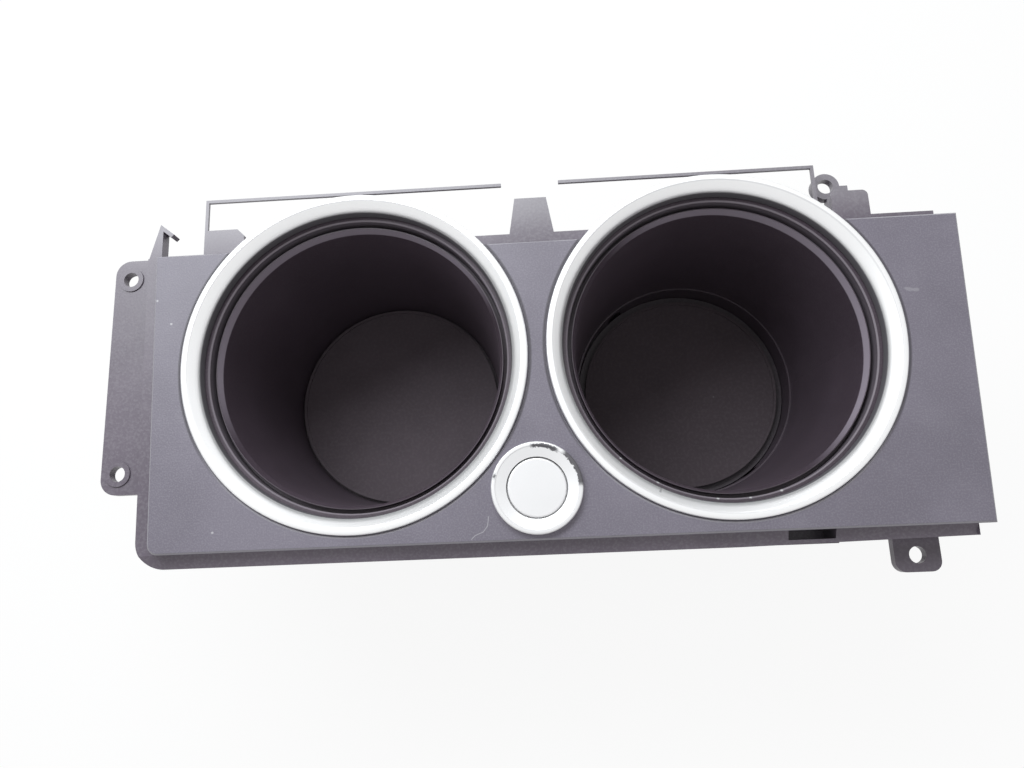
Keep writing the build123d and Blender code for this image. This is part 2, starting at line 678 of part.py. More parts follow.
# Right well: the same mouth and draft, a ledge, and a straight bore for the lifting floor
ledge_under = ledge_top - well_wall
catch_face = well_reach - bore_outer_r - catch_pad  # pad's face, along the section plane
wall_window = catch_width + 2 * window_side
pad_middle = (catch_pad_low + catch_pad_high) / 2
catch_screw_plane = Plane(
    origin=(*around(button_at, catch_face - catch_thickness, catch_turn), pad_middle),
    z_dir=(cos(radians(catch_turn)), sin(radians(catch_turn)), 0),
)
with BuildPart() as well_right:
    with BuildSketch(Plane.XZ):
        with BuildLine():
            Polyline(
                (right_cup[0] + bore_r, cover_thickness),
                (right_cup[0] + bore_r, ledge_top),
                (right_cup[0] + ledge_r, ledge_top),
                (right_cup[0] + throat_r, throat_top),
                (right_cup[0] + throat_r + throat_bevel, throat_edge),
                (right_cup[0] + throat_r + throat_lip, throat_edge),
                (right_cup[0] + throat_r + throat_lip, groove_bottom),
                (right_cup[0] + collar_inner_r, groove_bottom),
                (right_cup[0] + collar_inner_r, collar_top - collar_edge),
                (right_cup[0] + collar_inner_r + collar_edge, collar_top),
                (right_cup[0] + collar_outer_r, collar_top),
                (right_cup[0] + collar_outer_r, groove_bottom),
                (right_cup[0] + throat_r + well_wall, groove_bottom - collar_wall),
                (right_cup[0] + ledge_r + well_wall, ledge_under),
                (right_cup[0] + bore_outer_r, ledge_under),
                (right_cup[0] + bore_outer_r, cover_thickness),
                close=True,
            )
        make_face()
    revolve(axis=Axis(origin=(*right_cup, 0), direction=(0, 0, 1)))
    with BuildSketch(Plane.XY.offset(ear_bottom)):
        add(right_ear_plan)
    extrude(amount=ear_thickness)
    # Bosses for the base cover's screws
    with BuildSketch(Plane.XY.offset(cover_ear)):
        with Locations(*cover_bosses):
            Circle(cover_boss_r)
        with Locations(right_cup):
            Circle(bore_outer_r - well_wall / 2, mode=Mode.SUBTRACT)
        with Locations(*cover_bosses):
            Circle(screw_r + fit_gap / 2, mode=Mode.SUBTRACT)
    extrude(amount=cover_boss_height)
    # Pad that the catch strip is screwed to, on the side of the button
    with BuildSketch(upright_plane(button_at, catch_turn)):
        with Locations((catch_face + (catch_pad + well_wall / 2) / 2, pad_middle)):
            Rectangle(catch_pad + well_wall / 2, catch_pad_height)
    extrude(amount=wall_window / 2, both=True)
    # Window for the catch's nose, below the ledge
    with BuildSketch(upright_plane(button_at, catch_turn)):
        with Locations((well_reach - bore_r - well_wall / 2, catch_level + catch_slope / 2)):
            Rectangle(2 * well_wall, catch_slope + 2 * window_side)
    extrude(amount=wall_window / 2, both=True, mode=Mode.SUBTRACT)
    with BuildSketch(catch_screw_plane):
        Circle(screw_r + fit_gap / 2)
    extrude(amount=catch_screw_length, mode=Mode.SUBTRACT)
    # Grooves for the lifting floor's stop lugs, open at the foot so that it goes in from below
    with BuildSketch(Plane.XY.offset(cover_thickness)):
        groove_length = stop_reach + well_wall
        for turn in stop_turns:
            groove_middle = around(right_cup, bore_r + stop_reach - groove_length / 2, turn)
            with Locations(Location((*groove_middle, 0), turn)):
                Rectangle(groove_length, stop_width + 2 * slide_gap)
    extrude(amount=stop_top - cover_thickness, mode=Mode.SUBTRACT)
save(well_right, "well_right")

# Rubber mats that lie loose on the two floors, with a fine raised rim
for mat_name, cup, mat_r, floor_top in (
    ("mat_left", left_cup, left_mat_r, left_floor_top),
    ("mat_right", right_cup, right_mat_r, platform_top),
):
    with BuildPart() as mat:
        with BuildSketch(Plane.XY.offset(floor_top)):
            with Locations(cup):
                Circle(mat_r)
        extrude(amount=mat_thickness)
        with BuildSketch(Plane.XY.offset(floor_top + mat_thickness)):
            with Locations(cup):
                Circle(mat_r)
                Circle(mat_r - mat_rim, mode=Mode.SUBTRACT)
        extrude(amount=mat_rim_rise)
    save(mat, mat_name)

# Lifting floor: a plate with a guide skirt, and a ring below that centres the spring
locator_outer_r = lift_coil_r - lift_wire_r - slide_gap
with BuildPart() as floor_platform:
    with BuildSketch(Plane.XY.offset(platform_bottom)):
        with Locations(right_cup):
            Circle(platform_r)
    extrude(amount=platform_thickness)
    with BuildSketch(Plane.XY.offset(skirt_bottom)):
        with Locations(right_cup):
            Circle(platform_r)
            Circle(platform_r - skirt_wall, mode=Mode.SUBTRACT)
    extrude(amount=platform_bottom - skirt_bottom)
    with BuildSketch(Plane.XY.offset(platform_bottom - spring_locator_height)):
        with Locations(right_cup):
            Circle(locator_outer_r)
            Circle(locator_outer_r - spring_locator, mode=Mode.SUBTRACT)
    extrude(amount=spring_locator_height)
    # Stop lugs at the skirt's foot, one on each side
    with BuildSketch(Plane.XY.offset(skirt_bottom)):
        stop_length = stop_reach + skirt_wall / 2
        for turn in stop_turns:
            stop_middle = around(right_cup, platform_r + stop_reach - stop_length / 2, turn)
            with Locations(Location((*stop_middle, 0), turn)):
                Rectangle(stop_length, stop_width)
    extrude(amount=stop_height)
    # Window that the catch's nose holds
    with BuildSketch(upright_plane(button_at, catch_turn)):
        with Locations((well_reach - platform_r, catch_level - slide_gap + catch_drop / 2)):
            Rectangle(2 * (skirt_wall + catch_nose), catch_drop)
    extrude(amount=wall_window / 2, both=True, mode=Mode.SUBTRACT)
save(floor_platform, "floor_platform")

# Base cover: closes the right well, seats the lift spring and drains spills
with BuildPart() as base_cover:
    with BuildSketch():
        with Locations(right_cup):
            Circle(bore_outer_r)
        with Locations(*cover_bosses):
            Circle(cover_boss_r)
        with Locations(right_cup):
            Circle(drain_r, mode=Mode.SUBTRACT)
    extrude(amount=cover_thickness)
    with BuildSketch(Plane.XY.offset(cover_thickness)):
        with Locations(*cover_bosses):
            Circle(cover_boss_r)
        with Locations(right_cup):
            Circle(bore_outer_r + fit_gap, mode=Mode.SUBTRACT)
    extrude(amount=cover_ear - cover_thickness)
    with BuildSketch(Plane.XY.offset(cover_thickness)):
        with Locations(right_cup):
            Circle(locator_outer_r)
            Circle(locator_outer_r - spring_locator, mode=Mode.SUBTRACT)
    extrude(amount=spring_locator_height)
    with Locations(*[(x, y, 0) for x, y in cover_bosses]):
        Cylinder(screw_head_r + fit_gap, screw_head + fit_gap, align=STAND, mode=Mode.SUBTRACT)
        Cylinder(screw_hole_r, cover_ear, align=STAND, mode=Mode.SUBTRACT)
save(base_cover, "base_cover")


def coil_spring(centre, seat, top, coil_r, wire_r, turns):
    """Open coil spring between two flat seats, a hair short of each."""
    rise = top - seat - 2 * wire_r - 2 * fit_gap
    with BuildPart() as spring:
        with BuildLine(Plane(origin=(*centre, seat + wire_r + fit_gap))) as path:
            Helix(pitch=rise / turns, height=rise, radius=coil_r)
        with BuildSketch(Plane(origin=path.line @ 0, z_dir=path.line % 0)):
            Circle(wire_r)
        sweep(path=path.line, is_frenet=True)
    return spring


lift_spring = coil_spring(
    right_cup, cover_thickness, platform_bottom, lift_coil_r, lift_wire_r, lift_turns
)
save(lift_spring, "lift_spring")

# Button bezel: silver collar with a fine rim, dished to an inner lip that keeps the cap in
with BuildPart() as button_bezel:
    with BuildSketch(Plane.XZ.offset(-button_y)):
        with BuildLine():
            lip = (button_x + bezel_outer_r, panel_top + bezel_lip)
            crown = (button_x + bezel_outer_r - bezel_brow, panel_top + bezel_crown)
            Spline(lip, crown, tangents=[(0, 1), (-1, 0)])
            Polyline(
                crown,
                (button_x + bezel_outer_r - bezel_rim, panel_top + bezel_crown),
                (button_x + bezel_outer_r - bezel_rim - bezel_step, panel_top + bezel_crown - bezel_step),
                (button_x + cap_bore_r, panel_top + cap_rise),
                (button_x + cap_bore_r, panel_top - bezel_stop),
                (button_x + bezel_bore_r, panel_top - bezel_stop),
                (button_x + bezel_bore_r, panel_top - bezel_depth),
                (button_x + bezel_spigot_r, panel_top - bezel_depth),
                (button_x + bezel_spigot_r, panel_top),
                (button_x + bezel_outer_r, panel_top),
                lip,
            )
        make_face()
    revolve(axis=Axis(origin=(*button_at, 0), direction=(0, 0, 1)))
    with BuildSketch(Plane.XY.offset(carrier_bottom)):
        with Locations(button_at):
            with PolarLocations(bezel_spigot_r, 2):
                Rectangle(2 * bezel_barb, bezel_barb_width)
            Circle(bezel_bore_r, mode=Mode.SUBTRACT)
    extrude(amount=carrier_thickness - fit_gap)
save(button_bezel, "button_bezel")

# Push button: silver cap with a stop flange and a socket for the rod
socket_r = rod_r + fit_gap / 2
with BuildPart() as button_cap:
    with BuildSketch(Plane.XY.offset(cap_flange_top)):
        with Locations(button_at):
            Circle(cap_r)
    extrude(amount=cap_top - cap_flange_top)
    fillet(button_cap.edges().group_by(Axis.Z)[-1], cap_edge)
    with BuildSketch(Plane.XY.offset(cap_bottom)):
        with Locations(button_at):
            Circle(cap_flange_r)
    extrude(amount=cap_flange)
    with BuildSketch(Plane.XY.offset(cap_bottom - cap_socket)):
        with Locations(button_at):
            Circle(socket_r + cap_socket_wall)
    extrude(amount=cap_socket)
    with Locations((*button_at, cap_bottom - cap_socket)):
        Cylinder(socket_r, rod_grip, align=STAND, mode=Mode.SUBTRACT)
save(button_cap, "button_cap")

# Push rod: held in the cap, with a rounded foot just above the catch's tongue
with BuildPart() as push_rod:
    with BuildSketch(Plane.XY.offset(rod_bottom)):
        with Locations(button_at):
            Circle(rod_r)
    extrude(amount=cap_bottom - cap_socket + rod_grip - rod_bottom)
    fillet(push_rod.edges().group_by(Axis.Z)[0], rod_foot)
save(push_rod, "push_rod")

button_spring = coil_spring(
    button_at, guide_seat, cap_bottom, button_coil_r, button_wire_r, button_turns
)
save(button_spring, "button_spring")

# Button guide: cup under the carrier with a long tube for the rod and two screw ears
with BuildPart() as button_guide:
    with BuildSketch(Plane.XY.offset(guide_seat - guide_floor)):
        with Locations(button_at):
            Circle(guide_inner_r + guide_wall)
    extrude(amount=carrier_bottom - guide_seat + guide_floor)
    with BuildSketch(Plane.XY.offset(ear_bottom)):
        with Locations(*guide_ears):
            Circle(boss_r)
        with Locations((button_x, button_y - guide_ear_y)):
            Rectangle(2 * guide_ear_x, 2 * boss_r)
        with Locations(*guide_ears):
            Circle(screw_hole_r, mode=Mode.SUBTRACT)
    extrude(amount=ear_thickness)
    with BuildSketch(Plane.XY.offset(guide_seat)):
        with Locations(button_at):
            Circle(guide_inner_r)
    extrude(amount=carrier_bottom - guide_seat, mode=Mode.SUBTRACT)
    with BuildSketch(Plane.XY.offset(guide_bottom)):
        with Locations(button_at):
            Circle(rod_r + slide_gap + guide_tube_wall)
    extrude(amount=guide_tube)
    with BuildSketch(Plane.XY.offset(guide_bottom)):
        with Locations(button_at):
            Circle(rod_r + slide_gap)
    extrude(amount=guide_tube + guide_floor, mode=Mode.SUBTRACT)
save(button_guide, "button_guide")

# Catch strip: spring steel, screwed to the right well, with a nose that holds the lifting
# floor down and a tongue under the rod; the rod bends the tongue down, which tips the nose out
strip_line = catch_face - catch_thickness / 2
nose_end = well_reach - platform_r + catch_nose
strip_level = catch_level + catch_thickness / 2
with BuildPart() as catch_spring:
    with BuildSketch(upright_plane(button_at, catch_turn)):
        with BuildLine():
            FilletPolyline(
                (strip_line, catch_pad_low),
                (strip_line, strip_level),
                (nose_end, strip_level),
                (nose_end, strip_level + catch_brow),
                (strip_line, catch_level + catch_slope),
                (strip_line, tongue_level + catch_thickness / 2),
                (-tongue_end, tongue_level + catch_thickness / 2),
                radius=catch_bend,
            )
        trace(line_width=catch_thickness)
    extrude(amount=catch_width / 2, both=True)
    with BuildSketch(catch_screw_plane):
        Circle(screw_r + fit_gap)
    extrude(amount=catch_thickness, mode=Mode.SUBTRACT)
save(catch_spring, "catch_spring")

with BuildPart() as catch_screw:
    with BuildSketch(catch_screw_plane):
        Circle(screw_head_r)
    extrude(amount=-screw_head)
    with BuildSketch(catch_screw_plane):
        Circle(screw_r)
    extrude(amount=catch_screw_length - fit_gap)
save(catch_screw, "catch_screw")

# Upward screws, one node for each use, with their heads against the seats below
for screws_name, places, seat in (
    ("well_screws", left_ears + right_ears, ear_bottom),
    ("guide_screws", guide_ears, ear_bottom),
    ("panel_screws", panel_bosses, tower_bottom),
    ("cover_screws", cover_bosses, screw_head + fit_gap),
):
    with BuildPart() as screws:
        with BuildSketch(Plane.XY.offset(seat)):
            with Locations(*places):
                Circle(screw_head_r)
        extrude(amount=-screw_head)
        with BuildSketch(Plane.XY.offset(seat)):
            with Locations(*places):
                Circle(screw_r)
        extrude(amount=screw_length - fit_gap)
    save(screws, screws_name)
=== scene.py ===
import math

import bmesh
import bpy
from mathutils import Matrix, Vector


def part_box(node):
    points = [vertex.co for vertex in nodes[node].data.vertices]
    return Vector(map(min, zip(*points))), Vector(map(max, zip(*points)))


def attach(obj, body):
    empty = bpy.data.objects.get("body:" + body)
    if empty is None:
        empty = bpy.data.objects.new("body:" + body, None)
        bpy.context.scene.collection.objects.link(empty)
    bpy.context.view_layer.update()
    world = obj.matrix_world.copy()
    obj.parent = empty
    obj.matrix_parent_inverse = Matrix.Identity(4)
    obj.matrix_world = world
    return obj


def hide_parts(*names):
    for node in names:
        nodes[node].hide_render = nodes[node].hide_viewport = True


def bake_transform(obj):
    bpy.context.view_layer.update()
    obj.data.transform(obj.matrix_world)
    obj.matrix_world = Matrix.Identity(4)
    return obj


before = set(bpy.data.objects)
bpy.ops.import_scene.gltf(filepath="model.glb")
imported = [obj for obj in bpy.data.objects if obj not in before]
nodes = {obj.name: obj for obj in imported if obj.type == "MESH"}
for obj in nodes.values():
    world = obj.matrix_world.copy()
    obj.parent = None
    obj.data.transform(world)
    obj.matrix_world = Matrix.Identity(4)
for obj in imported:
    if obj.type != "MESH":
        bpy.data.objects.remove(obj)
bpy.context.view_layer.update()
scene = bpy.context.scene
scene.view_settings.view_transform = "Standard"

# Camera: held by hand over the front edge of the panel, looking down into the two cups.
# The lens is a wide one, as a phone has, so the walls of both wells lean towards each other.
image_width = 1024
focal_pixels = 760
camera_place = Vector((0.00537, -0.04785, 0.29009))
camera_right = Vector((0.99805, -0.0384, -0.0492))
camera_up = Vector((0.04804, 0.97594, 0.21267))
camera_nearest = 0.005
camera_data = bpy.data.cameras.new("photo_camera")
camera_data.lens = camera_data.sensor_width * focal_pixels / image_width
camera_data.clip_start = camera_nearest
camera_turn = Matrix((camera_right, camera_up, camera_right.cross(camera_up))).transposed()
camera = bpy.data.objects.new("photo_camera", camera_data)
camera.matrix_world = Matrix.Translation(camera_place) @ camera_turn.to_4x4()
scene.collection.objects.link(camera)
scene.camera = camera

# Stage: a wide pale floor just under the wells, and an even white room.
# What looks straight at either sees white, and the floor keeps a soft shadow of the part.
white = (1, 1, 1, 1)
floor_half = 4.0
floor_drop = 0.0003
floor_paper = (0.95, 0.95, 0.95, 1)
floor_glow = 0.90
room_light = 0.50
floor_corners = [
    (x * floor_half, y * floor_half, -floor_drop) for x, y in ((-1, -1), (1, -1), (1, 1), (-1, 1))
]
floor_mesh = bpy.data.meshes.new("floor")
floor_mesh.from_pydata(floor_corners, [], [(0, 1, 2, 3)])
floor = bpy.data.objects.new("floor", floor_mesh)
scene.collection.objects.link(floor)


def put(tree, kind, inputs=None, **settings):
    """Add a node, set its properties, and set or link its inputs by name or number."""
    made = tree.nodes.new(kind)
    for setting, value in settings.items():
        setattr(made, setting, value)
    for socket, value in (inputs or {}).items():
        if isinstance(value, bpy.types.NodeSocket):
            tree.links.new(value, made.inputs[socket])
        else:
            made.inputs[socket].default_value = value
    return made


def number(tree, operation, first, second=0.0, third=0.0):
    """One step of arithmetic on values in a tree of nodes."""
    made = put(tree, "ShaderNodeMath", {0: first, 1: second, 2: third}, operation=operation)
    return made.outputs[0]


def sees_white(tree):
    """1 for what looks straight at the stage, or sees it mirrored, and 0 for its light."""
    path = put(tree, "ShaderNodeLightPath").outputs
    mirrored = number(tree, "MAXIMUM", path["Is Glossy Ray"], path["Is Transmission Ray"])
    return number(tree, "MAXIMUM", path["Is Camera Ray"], mirrored)


paper = bpy.data.materials.new("floor_paper")
paper.use_nodes = True
tree = paper.node_tree
tree.nodes.remove(tree.nodes["Principled BSDF"])
paper_lit = put(tree, "ShaderNodeBsdfDiffuse", {"Color": floor_paper}).outputs[0]
paper_seen = put(tree, "ShaderNodeEmission", {"Color": white, "Strength": 1.0}).outputs[0]
paper_share = number(tree, "MULTIPLY", sees_white(tree), floor_glow)
paper_mix = put(tree, "ShaderNodeMixShader", {0: paper_share, 1: paper_lit, 2: paper_seen})
tree.links.new(paper_mix.outputs[0], tree.nodes["Material Output"].inputs[0])
floor_mesh.materials.append(paper)

room = bpy.data.worlds.new("white_room")
scene.world = room
room.use_nodes = True
tree = room.node_tree
room_lit = tree.nodes["Background"]
room_lit.inputs["Color"].default_value = white
room_lit.inputs["Strength"].default_value = room_light
room_seen = put(tree, "ShaderNodeBackground", {"Color": white, "Strength": 1.0})
room_mix = put(
    tree,
    "ShaderNodeMixShader",
    {0: sees_white(tree), 1: room_lit.outputs[0], 2: room_seen.outputs[0]},
)
tree.links.new(room_mix.outputs[0], tree.nodes["World Output"].inputs[0])

# Window light: one wide soft box behind the left half of the panel, as by a window.
# It is faintly blue, as daylight is beside the room's own light.
window_place = Vector((-0.125, 0.255, 0.42))
window_aim = Vector((0.0, 0.0, 0.08))
window_width = 0.48
window_height = 0.16
window_power = 2.1
window_tint = (0.93, 0.98, 1.0)
window_data = bpy.data.lights.new("window_lamp", "AREA")
window_data.shape = "RECTANGLE"
window_data.size = window_width
window_data.size_y = window_height
window_data.energy = window_power
window_data.color = window_tint
window_lamp = bpy.data.objects.new("window_lamp", window_data)
window_lamp.location = window_place
window_lamp.rotation_euler = (window_aim - window_place).to_track_quat("-Z", "Y").to_euler()
scene.collection.objects.link(window_lamp)

# Carrier frame: the one-piece grey moulding that everything else hangs from or clips to.
# Its ledge, screw flange, lugs, tabs and thin arms stick out past the panel, with ribs below.
# Painted highlight pales the tabs and arms at the rear; painted shade darkens the front lug.
carrier_light = (0.136, 0.113, 0.144, 1)
carrier_dark = (0.108, 0.089, 0.115, 1)
carrier_dust_and_highlight = (0.45, 0.44, 0.46, 1)
carrier_painted_shade = (0.045, 0.036, 0.044, 1)
rear_highlight_strip = (0.02124, 0.00724)
rear_highlight_share = 0.32
front_shade_strip = (0.00774, 0.00574)
front_shade_share = 0.35


def ease(tree, value, low, high, start=0.0, end=1.0):
    """Smooth step of a value from one level to another."""
    made = put(
        tree,
        "ShaderNodeMapRange",
        {0: value, 1: low, 2: high, 3: start, 4: end},
        interpolation_type="SMOOTHSTEP",
    )
    return made.outputs[0]


def tone(tree, share, first, second):
    """Mix of two colours."""
    made = put(tree, "ShaderNodeMix", {0: share, 6: first, 7: second}, data_type="RGBA")
    return made.outputs[2]


def cloud(tree, place, scale, detail=2.0, roughness=0.5):
    """Noise of a given scale, in cycles a metre."""
    made = put(
        tree,
        "ShaderNodeTexNoise",
        {"Vector": place, "Scale": scale, "Detail": detail, "Roughness": roughness},
    )
    return made.outputs[0]


def split(tree, place):
    """How far a place lies to the right, to the rear and up."""
    return put(tree, "ShaderNodeSeparateXYZ", {0: place}).outputs


def new_finish(name, **settings):
    """A material with its shader's constant sockets set; gives it, its tree, shader and place."""
    made = bpy.data.materials.new(name)
    made.use_nodes = True
    shader = made.node_tree.nodes["Principled BSDF"]
    for socket, value in settings.items():
        shader.inputs[socket].default_value = value
    place = put(made.node_tree, "ShaderNodeTexCoord").outputs["Object"]
    return made, made.node_tree, shader, place


def specks(tree, place, scale, size, share):
    """Sparse round specks: a share of the cells of a lattice has one."""
    core = 0.4
    cells = put(tree, "ShaderNodeTexVoronoi", {"Vector": place, "Scale": scale})
    chosen = put(tree, "ShaderNodeSeparateColor", {0: cells.outputs["Color"]}).outputs[0]
    near = ease(tree, cells.outputs["Distance"], size, size * core)
    return number(tree, "MULTIPLY", near, number(tree, "GREATER_THAN", chosen, 1 - share))


def moulded_plastic(name, light, dark, dust, grain, height, rough, dusty):
    """Grained moulding: blotched tone, eroded grain of so many cells a metre, and caught dust."""
    blotch_scale, blotch_span = 28.0, (0.3, 0.7)
    grain_span, grain_dust = (0.42, 0.68), 0.10
    film_scale, film_span, film_dust = 75.0, (0.5, 0.8), 0.10 * dusty
    fleck_scale, fleck_size, fleck_share, fleck_dust = 260.0, 0.06, 0.06, 0.5 * dusty
    pits_per_grain, pit_depth, relief_strength = 0.8, 0.6, 0.5
    rough_swing = 0.16
    made, tree, shader, place = new_finish(name)
    blotch = cloud(tree, place, blotch_scale, detail=4.0, roughness=0.6)
    fine = cloud(tree, place, grain)
    film = cloud(tree, place, film_scale, detail=6.0, roughness=0.7)
    flecks = specks(tree, place, fleck_scale, fleck_size, fleck_share)
    caught = number(
        tree,
        "MAXIMUM",
        ease(tree, film, *film_span, 0.0, film_dust),
        number(tree, "MULTIPLY", flecks, fleck_dust),
    )
    body = tone(tree, ease(tree, blotch, *blotch_span), dark, light)
    body = tone(tree, ease(tree, fine, *grain_span, 0.0, grain_dust), body, dust)
    body = tone(tree, caught, body, dust)
    pits = put(tree, "ShaderNodeTexVoronoi", {"Vector": place, "Scale": grain * pits_per_grain})
    relief = number(tree, "MULTIPLY_ADD", pits.outputs["Distance"], pit_depth, fine)
    bump = put(
        tree, "ShaderNodeBump", {"Height": relief, "Strength": relief_strength, "Distance": height}
    )
    roughness = number(tree, "MULTIPLY_ADD", fine, rough_swing, rough - rough_swing / 2)
    tree.links.new(bump.outputs[0], shader.inputs["Normal"])
    tree.links.new(roughness, shader.inputs["Roughness"])
    tree.links.new(body, shader.inputs["Base Color"])
    return made, tree, shader, place, body


def dress(node, finish):
    """Give a CAD node one finish all over."""
    nodes[node].data.materials.clear()
    nodes[node].data.materials.append(finish)


carrier_finish, tree, shader, place, body = moulded_plastic(
    "plain_grey_carrier",
    carrier_light,
    carrier_dark,
    carrier_dust_and_highlight,
    grain=1500.0,
    height=0.00003,
    rough=0.36,
    dusty=0.6,
)
low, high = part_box("carrier_frame")
rearward = split(tree, place)[1]
from_rear = number(tree, "SUBTRACT", high.y, rearward)
from_front = number(tree, "SUBTRACT", rearward, low.y)
# Painted highlight along the rear strip and painted shade along the front strip, by distance from
# each side.
rear_highlight = ease(tree, from_rear, *rear_highlight_strip, 0.0, rear_highlight_share)
front_shade = ease(tree, from_front, *front_shade_strip, 0.0, front_shade_share)
body = tone(tree, front_shade, tone(tree, rear_highlight, body, carrier_dust_and_highlight), carrier_painted_shade)
tree.links.new(body, shader.inputs["Base Color"])
dress("carrier_frame", carrier_finish)

# Trim panel: the flat top moulding, in matt grey plastic with a fine spark-eroded grain.
# It is screwed to the carrier from below, and has a few specks, a scuff and a faint hairline.
# Painted shadow darkens the gap round each ring; a painted highlight pales its front edge.
panel_light = (0.182, 0.165, 0.206, 1)
panel_dark = (0.149, 0.134, 0.169, 1)
panel_dust_and_highlight = (0.52, 0.51, 0.53, 1)
panel_painted_shadow = (0.035, 0.031, 0.038, 1)
edge_depth_far = (0.0005, 0.0004)
edge_depth_near = (0.000025, 0.0001)
edge_highlight_share = 0.35
ring_shadow_gap = (0.0004, 0.0010)
ring_shadow_soft = 0.0002
ring_shadow_sine = (-0.7, -0.35)
ring_shadow_share = 0.7
ring_highlight_gap = (0.0005, 0.0008)
ring_highlight_soft = 0.0001
ring_highlight_sine = (-0.55, -0.8)
ring_highlight_share = 0.28
hairline = (
    (-0.0101, -0.0390),
    (-0.0104, -0.0413),
    (-0.0116, -0.0428),
    (-0.0137, -0.0436),
    (-0.0146, -0.0445),
)
hairline_half = 0.00016
hairline_share = 0.45
scuff = ((0.1036, 0.0166), (0.1064, 0.0161))
scuff_half = 0.0007
scuff_share = 0.22
panel_specks = ((-0.0825, -0.0402), (-0.1012, 0.0243), (-0.0968, 0.0174))
speck_half = 0.0004
speck_share = 0.8


def move(tree, operation, first, second, third=(0, 0, 0)):
    """One step of arithmetic on places in a tree of nodes; gives a place and a length."""
    made = put(tree, "ShaderNodeVectorMath", {0: first, 1: second, 2: third}, operation=operation)
    return made.outputs[0], made.outputs[1]


def rub(tree, place, start, end, half_width):
    """A mark along a straight line between two places, ragged at its edge."""
    shake_scale, shake_detail, core = 900.0, 3.0, 0.3
    start, run = Vector(start), Vector(end) - Vector(start)
    shake = put(
        tree, "ShaderNodeTexNoise", {"Vector": place, "Scale": shake_scale, "Detail": shake_detail}
    )
    shaken, _ = move(tree, "SUBTRACT", shake.outputs["Color"], (0.5, 0.5, 0.5))
    ragged, _ = move(tree, "MULTIPLY_ADD", shaken, (half_width,) * 3, place)
    off, _ = move(tree, "SUBTRACT", ragged, start)
    _, along = move(tree, "DOT_PRODUCT", off, run / run.length_squared)
    nearest, _ = move(tree, "MULTIPLY", run, put(tree, "ShaderNodeClamp", {0: along}).outputs[0])
    _, gap = move(tree, "DISTANCE", off, nearest)
    return ease(tree, gap, half_width, half_width * core)


def streak(tree, place, points, level, half_width):
    """A mark along several places in plan, at one level."""
    spots = [Vector((*point, level)) for point in points]
    whole = 0.0
    for start, end in zip(spots, spots[1:]):
        whole = number(tree, "MAXIMUM", whole, rub(tree, place, start, end, half_width))
    return whole


def fleck(tree, place, spot, half_width):
    """A round ragged speck at one place."""
    stretch = 0.3
    end = Vector(spot) + Vector((half_width * stretch, 0, 0))
    return rub(tree, place, spot, end, half_width)


def centre_of(node):
    """The middle of a CAD node's box."""
    low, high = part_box(node)
    return (low + high) / 2


def radius_of(node):
    """Half the width of a round CAD node."""
    low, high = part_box(node)
    return (high.x - low.x) / 2


def from_axis(tree, place, centre):
    """Distance from an upright axis, and the turn about it."""
    off, _ = move(tree, "SUBTRACT", place, (centre.x, centre.y, 0))
    x, y, _ = split(tree, off)
    squares = number(tree, "MULTIPLY_ADD", x, x, number(tree, "MULTIPLY", y, y))
    return number(tree, "SQRT", squares), number(tree, "ARCTAN2", y, x)


def band(tree, value, low, high, soft):
    """1 between two levels of a value, with soft ends."""
    risen = ease(tree, value, low - soft, low + soft)
    return number(tree, "MULTIPLY", risen, ease(tree, value, high + soft, high - soft))


panel_finish, tree, shader, place, body = moulded_plastic(
    "grained_grey_panel",
    panel_light,
    panel_dark,
    panel_dust_and_highlight,
    grain=2300.0,
    height=0.00005,
    rough=0.44,
    dusty=0.5,
)
panel_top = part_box("top_panel")[1].z
depth = number(tree, "SUBTRACT", panel_top, split(tree, place)[2])
# The chamfers just under the top face are painted paler, as a painted edge highlight.
edge_highlight_and_marks = number(
    tree,
    "MULTIPLY",
    ease(tree, depth, *edge_depth_far, 0.0, edge_highlight_share),
    ease(tree, depth, *edge_depth_near),
)
for points, half, share in (
    (hairline, hairline_half, hairline_share),
    (scuff, scuff_half, scuff_share),
):
    mark = streak(tree, place, points, panel_top, half)
    edge_highlight_and_marks = number(tree, "MAXIMUM", edge_highlight_and_marks, number(tree, "MULTIPLY", mark, share))
for point in panel_specks:
    speck = fleck(tree, place, (*point, panel_top), speck_half)
    edge_highlight_and_marks = number(tree, "MAXIMUM", edge_highlight_and_marks, number(tree, "MULTIPLY", speck, speck_share))
body = tone(tree, edge_highlight_and_marks, body, panel_dust_and_highlight)
# Painted shadow in the gap round each ring at its rear and sides, and painted highlight at its
# front.
for ring in ("ring_left", "ring_right"):
    reach, turn = from_axis(tree, place, centre_of(ring))
    gap = number(tree, "SUBTRACT", reach, radius_of(ring))
    sine = number(tree, "SINE", turn)
    ring_shadow = number(
        tree,
        "MULTIPLY",
        band(tree, gap, *ring_shadow_gap, ring_shadow_soft),
        ease(tree, sine, *ring_shadow_sine, 0.0, ring_shadow_share),
    )
    ring_highlight = number(
        tree,
        "MULTIPLY",
        band(tree, gap, *ring_highlight_gap, ring_highlight_soft),
        ease(tree, sine, *ring_highlight_sine, 0.0, ring_highlight_share),
    )
    body = tone(tree, ring_highlight, tone(tree, ring_shadow, body, panel_painted_shadow), panel_dust_and_highlight)
tree.links.new(body, shader.inputs["Base Color"])
dress("top_panel", panel_finish)

